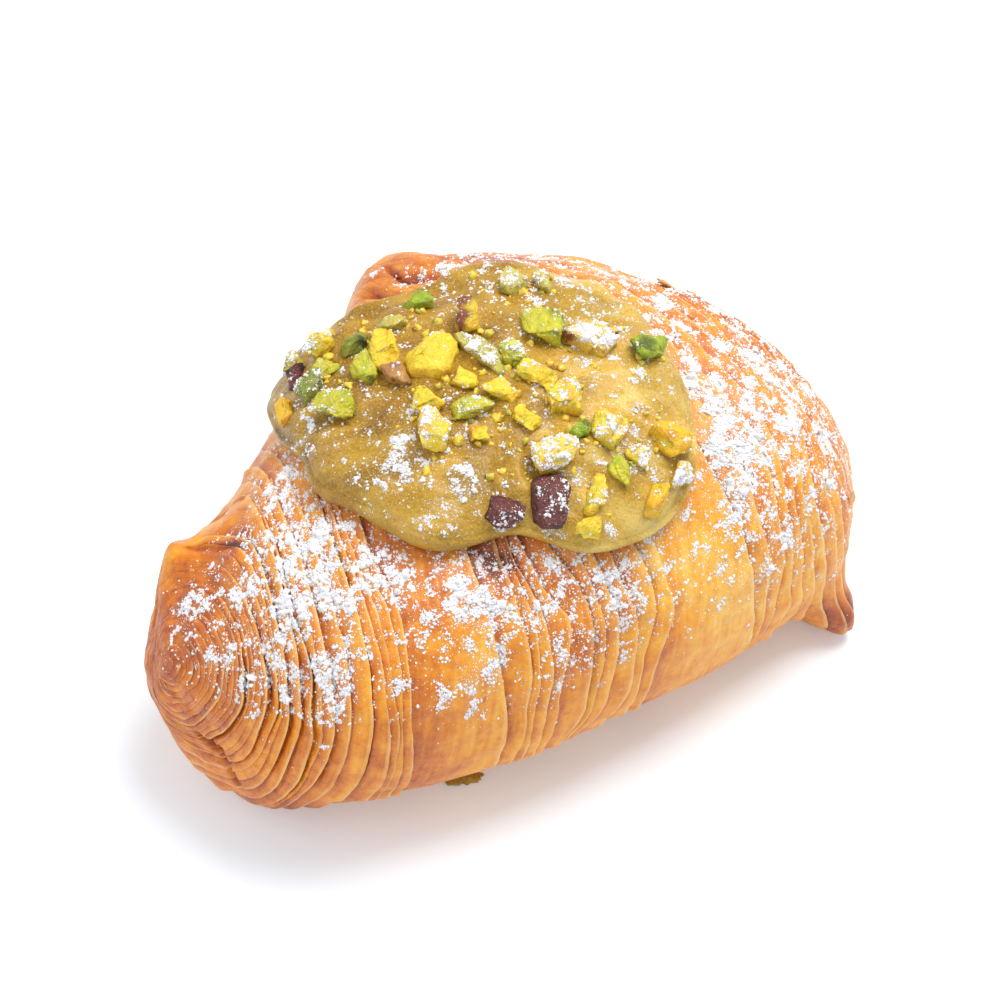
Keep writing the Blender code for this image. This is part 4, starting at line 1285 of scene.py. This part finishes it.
clots = {
    "amount": 0.8,  # in a square millimetre where the sugar lies thick
    "small": 0.3,
    "large": 0.9,
    "seed": 15,
    "pick": 78,
    "ragged": (0.4, 1.0, 62),  # share, size and seed
    "most": 2200,
    "under": (
        "doughTip", "doughShoulder", "doughBelly", "doughMouth", "cream", "pistachios1", "pistachios2",
        "pistachios3",
    ),
}

crumbs = {
    "amount": 0.09,  # in a square millimetre beside the kernels
    "reach": 5.5,  # around a kernel
    "small": 0.35,
    "large": 1.15,
    "seed": 6,
    "ragged": (0.35, 0.9, 61),
    "colours": (
        (0.3, (150, 150, 40)), (0.45, (214, 190, 60)), (0.6, (244, 206, 60)), (0.75, (150, 84, 50)),
    ),
    "speck": (250, 232, 150),
}

grainPoints, crumbPoints = 6, 42  # of the ball that each of them starts as


def scatterTree(name, finish, amountOf, ball):
    tree = bpy.data.node_groups.new(name, "GeometryNodeTree")
    tree.is_modifier = True
    for key, kind, value in (
        ("Geometry", "NodeSocketGeometry", None), ("Amount", "NodeSocketFloat", 1.0),
        ("Lone", "NodeSocketFloat", 0.1), ("Small", "NodeSocketFloat", 0.1),
        ("Large", "NodeSocketFloat", 0.3), ("Seed", "NodeSocketInt", 1),
    ):
        socket = tree.interface.new_socket(key, in_out="INPUT", socket_type=kind)
        if value is not None:
            socket.default_value = value
    tree.interface.new_socket("Geometry", in_out="OUTPUT", socket_type="NodeSocketGeometry")
    given = tree.nodes.new("NodeGroupInput").outputs
    place = stretch(tree, tree.nodes.new("GeometryNodeInputPosition").outputs[0], (1000, 1000, 1000))
    amount = calc(tree, "MULTIPLY", amountOf(tree, given, place), 1e6)
    feeds = {"Mesh": given["Geometry"], "Density": amount, "Seed": given["Seed"]}
    points = node(tree, "GeometryNodeDistributePointsOnFaces", feeds).outputs["Points"]
    even = node(tree, "FunctionNodeRandomValue", {2: 0.0, 3: 1.0, "Seed": 5}, data_type="FLOAT").outputs[1]
    even = calc(tree, "MULTIPLY", even, even)  # mostly small ones
    span = calc(tree, "SUBTRACT", given["Large"], given["Small"])
    radius = calc(tree, "MULTIPLY_ADD", even, span, given["Small"])
    turn, squash = (
        node(tree, "FunctionNodeRandomValue", feeds, data_type="FLOAT_VECTOR").outputs[0]
        for feeds in (
            {0: (0, 0, 0), 1: (6.28, 6.28, 6.28), "Seed": 8},
            {0: (0.7, 0.7, 0.55), 1: (1.25, 1.25, 0.9), "Seed": 9},
        )
    )
    feeds = {0: squash, 3: calc(tree, "MULTIPLY", radius, mm)}
    size = node(tree, "ShaderNodeVectorMath", feeds, operation="SCALE")
    feeds = {"Points": points, "Instance": ball(tree), "Rotation": turn, "Scale": size.outputs[0]}
    placed = node(tree, "GeometryNodeInstanceOnPoints", feeds).outputs[0]
    real = node(tree, "GeometryNodeRealizeInstances", {0: placed}).outputs[0]
    feeds = {0: real, "Material": finish} if finish else {0: real}
    node(tree, "NodeGroupOutput", {0: node(tree, "GeometryNodeSetMaterial", feeds).outputs[0]})
    return tree


def onSkin(tree, name):  # a value that the piece's points carry
    return node(tree, "GeometryNodeInputNamedAttribute", {"Name": name}, data_type="FLOAT").outputs[0]


def grainAmount(tree, given, place):  # thick where the powder hides the surface, a few everywhere else
    dust = onSkin(tree, "sugar")
    cover = sugarCover(tree, dust, place)[1]
    thin = calc(tree, "MULTIPLY", calc(tree, "MINIMUM", dust, 0.6), given["Lone"])
    return calc(tree, "MULTIPLY_ADD", cover, given["Amount"], thin)


def clotAmount(tree, given, place):
    dust = onSkin(tree, "sugar")
    thick = calc(tree, "MULTIPLY", sugarCover(tree, dust, place)[1], ease(tree, dust, 0.45, 0.8))
    return calc(tree, "MULTIPLY", thick, given["Amount"])


def crumbAmount(tree, given, place):
    return calc(tree, "MULTIPLY", onSkin(tree, "crumbs"), given["Amount"])


def grainBall(tree):
    return node(tree, "GeometryNodeMeshUVSphere", {"Segments": 4, "Rings": 2, "Radius": 1.0}).outputs[0]


def crumbBall(tree):
    return node(tree, "GeometryNodeMeshIcoSphere", {"Radius": 1.0, "Subdivisions": 2}).outputs[0]


def runTree(source, tree, values):  # the plain mesh a geometry tree makes from another piece
    holder = bpy.data.objects.new("holder", source.data)
    bpy.context.scene.collection.objects.link(holder)
    modifier = holder.modifiers.new("scatter", "NODES")
    modifier.node_group = tree
    sockets = {item.name: item.identifier for item in tree.interface.items_tree if item.in_out == "INPUT"}
    for key, value in values.items():
        modifier[sockets[key]] = value
    bpy.context.view_layer.update()
    mesh = bpy.data.meshes.new_from_object(holder.evaluated_get(bpy.context.evaluated_depsgraph_get()))
    holder.modifiers.remove(modifier)
    bpy.data.objects.remove(holder)
    points, corners = np.zeros(len(mesh.vertices) * 3), np.zeros(len(mesh.loops), np.int32)
    mesh.vertices.foreach_get("co", points)
    mesh.loops.foreach_get("vertex_index", corners)
    bpy.data.meshes.remove(mesh)
    return points.reshape(-1, 3) / mm, corners


def ragged(balls, amount, size, seed):  # each ball knocked out of round about its middle
    middle = balls.mean(1, keepdims=True)
    return middle + (balls - middle) * (1 + amount * lumps(balls, size, seed))[..., None]


def ballPiece(name, balls, corners, finish):  # many balls of one build as one piece
    size = balls.shape[1]
    one = corners[: 6 * size - 12].reshape(-1, 3)  # a closed ball of triangles has 6 * size - 12 corners
    faces = (one[None] + size * np.arange(len(balls))[:, None, None]).reshape(-1, 3)
    made = makeObject(name, np.clip(balls.reshape(-1, 3), boxLow, boxHigh), [faces], finish)
    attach(made, "root")
    print(name, len(balls))
    return made


def grainMaterial():
    made, tree, shader = newMaterial("sugarGrain")
    speck = noise(tree, spot(tree), 1.2, 2)
    colour = blend(tree, speck, *(tint(*shade) for shade in grains["colours"]))
    tree.links.new(colour, shader.inputs["Base Color"])
    setInputs(shader, {"Roughness": 0.6})
    return made


def scatterGrains():
    finish = grainMaterial()
    tree = scatterTree("scatterSugar", finish, grainAmount, grainBall)
    rng = np.random.default_rng(grains["pick"])
    values = {key.capitalize(): grains[key] for key in ("amount", "lone", "small", "large")}
    for number, (name, under, most) in enumerate(grains["pieces"]):
        values["Seed"] = grains["seed"] + number
        found = [runTree(bpy.data.objects[source], tree, values) for source in under]
        balls = np.concatenate([points.reshape(-1, grainPoints, 3) for points, _ in found])
        balls = balls[rng.permutation(len(balls))[:most]]
        ballPiece(name, balls, found[-1][1], finish)


def scatterClots():  # the larger clots, lying in the grains
    tree = scatterTree("scatterClots", None, clotAmount, crumbBall)
    values = {key.capitalize(): clots[key] for key in ("amount", "small", "large", "seed")}
    found = [runTree(bpy.data.objects[source], tree, values) for source in clots["under"]]
    corners = next(corners for points, corners in found if len(points))
    balls = np.concatenate([points.reshape(-1, crumbPoints, 3) for points, _ in found])
    balls = balls[np.random.default_rng(clots["pick"]).permutation(len(balls))[: clots["most"]]]
    ballPiece("sugarClots", ragged(balls, *clots["ragged"]), corners, bpy.data.materials["sugarGrain"])


def crumbMaterial():
    made, tree, shader = newMaterial("pistachioCrumb")
    place = spot(tree)
    piece = noise(tree, place, 0.35, 1)
    colour = ramp(tree, piece, crumbs["colours"])
    speck = ease(tree, noise(tree, place, 2.0, 2), 0.5, 0.7, 0, 0.5)
    tree.links.new(blend(tree, speck, colour, tint(*crumbs["speck"])), shader.inputs["Base Color"])
    setInputs(shader, {"Roughness": 0.45})
    return made


def scatterCrumbs():
    finish = crumbMaterial()
    tree = scatterTree("scatterCrumbs", finish, crumbAmount, crumbBall)
    values = {key.capitalize(): crumbs[key] for key in ("amount", "small", "large", "seed")}
    points, corners = runTree(creamObject, tree, values)
    balls = ragged(points.reshape(-1, crumbPoints, 3), *crumbs["ragged"])
    made = ballPiece("pistachioCrumbs", balls, corners, finish)


def crumbPlaces():  # beside the kernels, on the upper side of the cream
    points = np.array([v.co for v in creamObject.data.vertices]) / mm
    normals = np.array([v.normal for v in creamObject.data.vertices])
    total = np.zeros(len(points))
    for x, y, *_ in kernels["pieces"]:
        total += np.exp(-((points[:, 0] - x) ** 2 + (points[:, 1] - y) ** 2) / crumbs["reach"] ** 2)
    values = np.clip(total, 0, 1) * (normals[:, 2] > 0.8)
    layer = creamObject.data.attributes.new("crumbs", "FLOAT", "POINT")
    layer.data.foreach_set("value", values.astype(np.float32))


crumbPlaces()
scatterCrumbs()
scatterGrains()
scatterClots()


# camera, floor and light

view = {
    "aim": (-1.9, 2.4, 25.0),
    "above": 4.17,  # how far the camera is raised past the line to its aim
    "distance": 620.0,
    "elevation": 44.0,
    "lens": 107.1,
    "floor": 1500.0,  # half its width
}

floorFinish, _, shader = newMaterial("floor")
setInputs(shader, {
    "Base Color": (0.79, 0.88, 0.98, 1), "Roughness": 0.9,
    "Emission Color": (1, 1, 1, 1), "Emission Strength": 0.22,
})
floorCorners = [(x * view["floor"], y * view["floor"], 0) for x, y in ((-1, -1), (1, -1), (1, 1), (-1, 1))]
floor = makeObject("floor", floorCorners, [np.array([[0, 1, 2, 3]])], floorFinish)

tilt = math.radians(view["elevation"])
ahead = Vector((0, math.cos(tilt), -math.sin(tilt)))
upward = Vector((0, math.sin(tilt), math.cos(tilt)))
camera = bpy.data.objects.new("camera", bpy.data.cameras.new("camera"))
camera.data.lens = view["lens"]
camera.data.sensor_width = 36
camera.data.clip_end = 20
camera.location = (Vector(view["aim"]) + upward * view["above"] - ahead * view["distance"]) * mm
camera.rotation_euler = (math.radians(90) - tilt, 0, 0)
bpy.context.scene.collection.objects.link(camera)
bpy.context.scene.camera = camera

world = bpy.data.worlds.new("studio")
world.use_nodes = True
setInputs(world.node_tree.nodes["Background"], {"Color": (1, 1, 1, 1), "Strength": 0.56})
bpy.context.scene.world = world
bpy.context.scene.view_settings.view_transform = "Standard"


def areaLight(name, place, aim, size, power, colour):
    lamp = bpy.data.lights.new(name, "AREA")
    lamp.size = size * mm
    lamp.energy = power
    lamp.color = colour
    made = bpy.data.objects.new(name, lamp)
    made.location = Vector(place) * mm
    made.rotation_euler = (Vector(aim) - Vector(place)).to_track_quat("-Z", "Y").to_euler()
    bpy.context.scene.collection.objects.link(made)


areaLight("fill", (-420, -320, 420), (0, 0, 30), 500, 1.2, (1, 1, 1))
areaLight("key", (190, 120, 620), (0, 0, 30), 440, 4.2, (1, 0.98, 0.95))
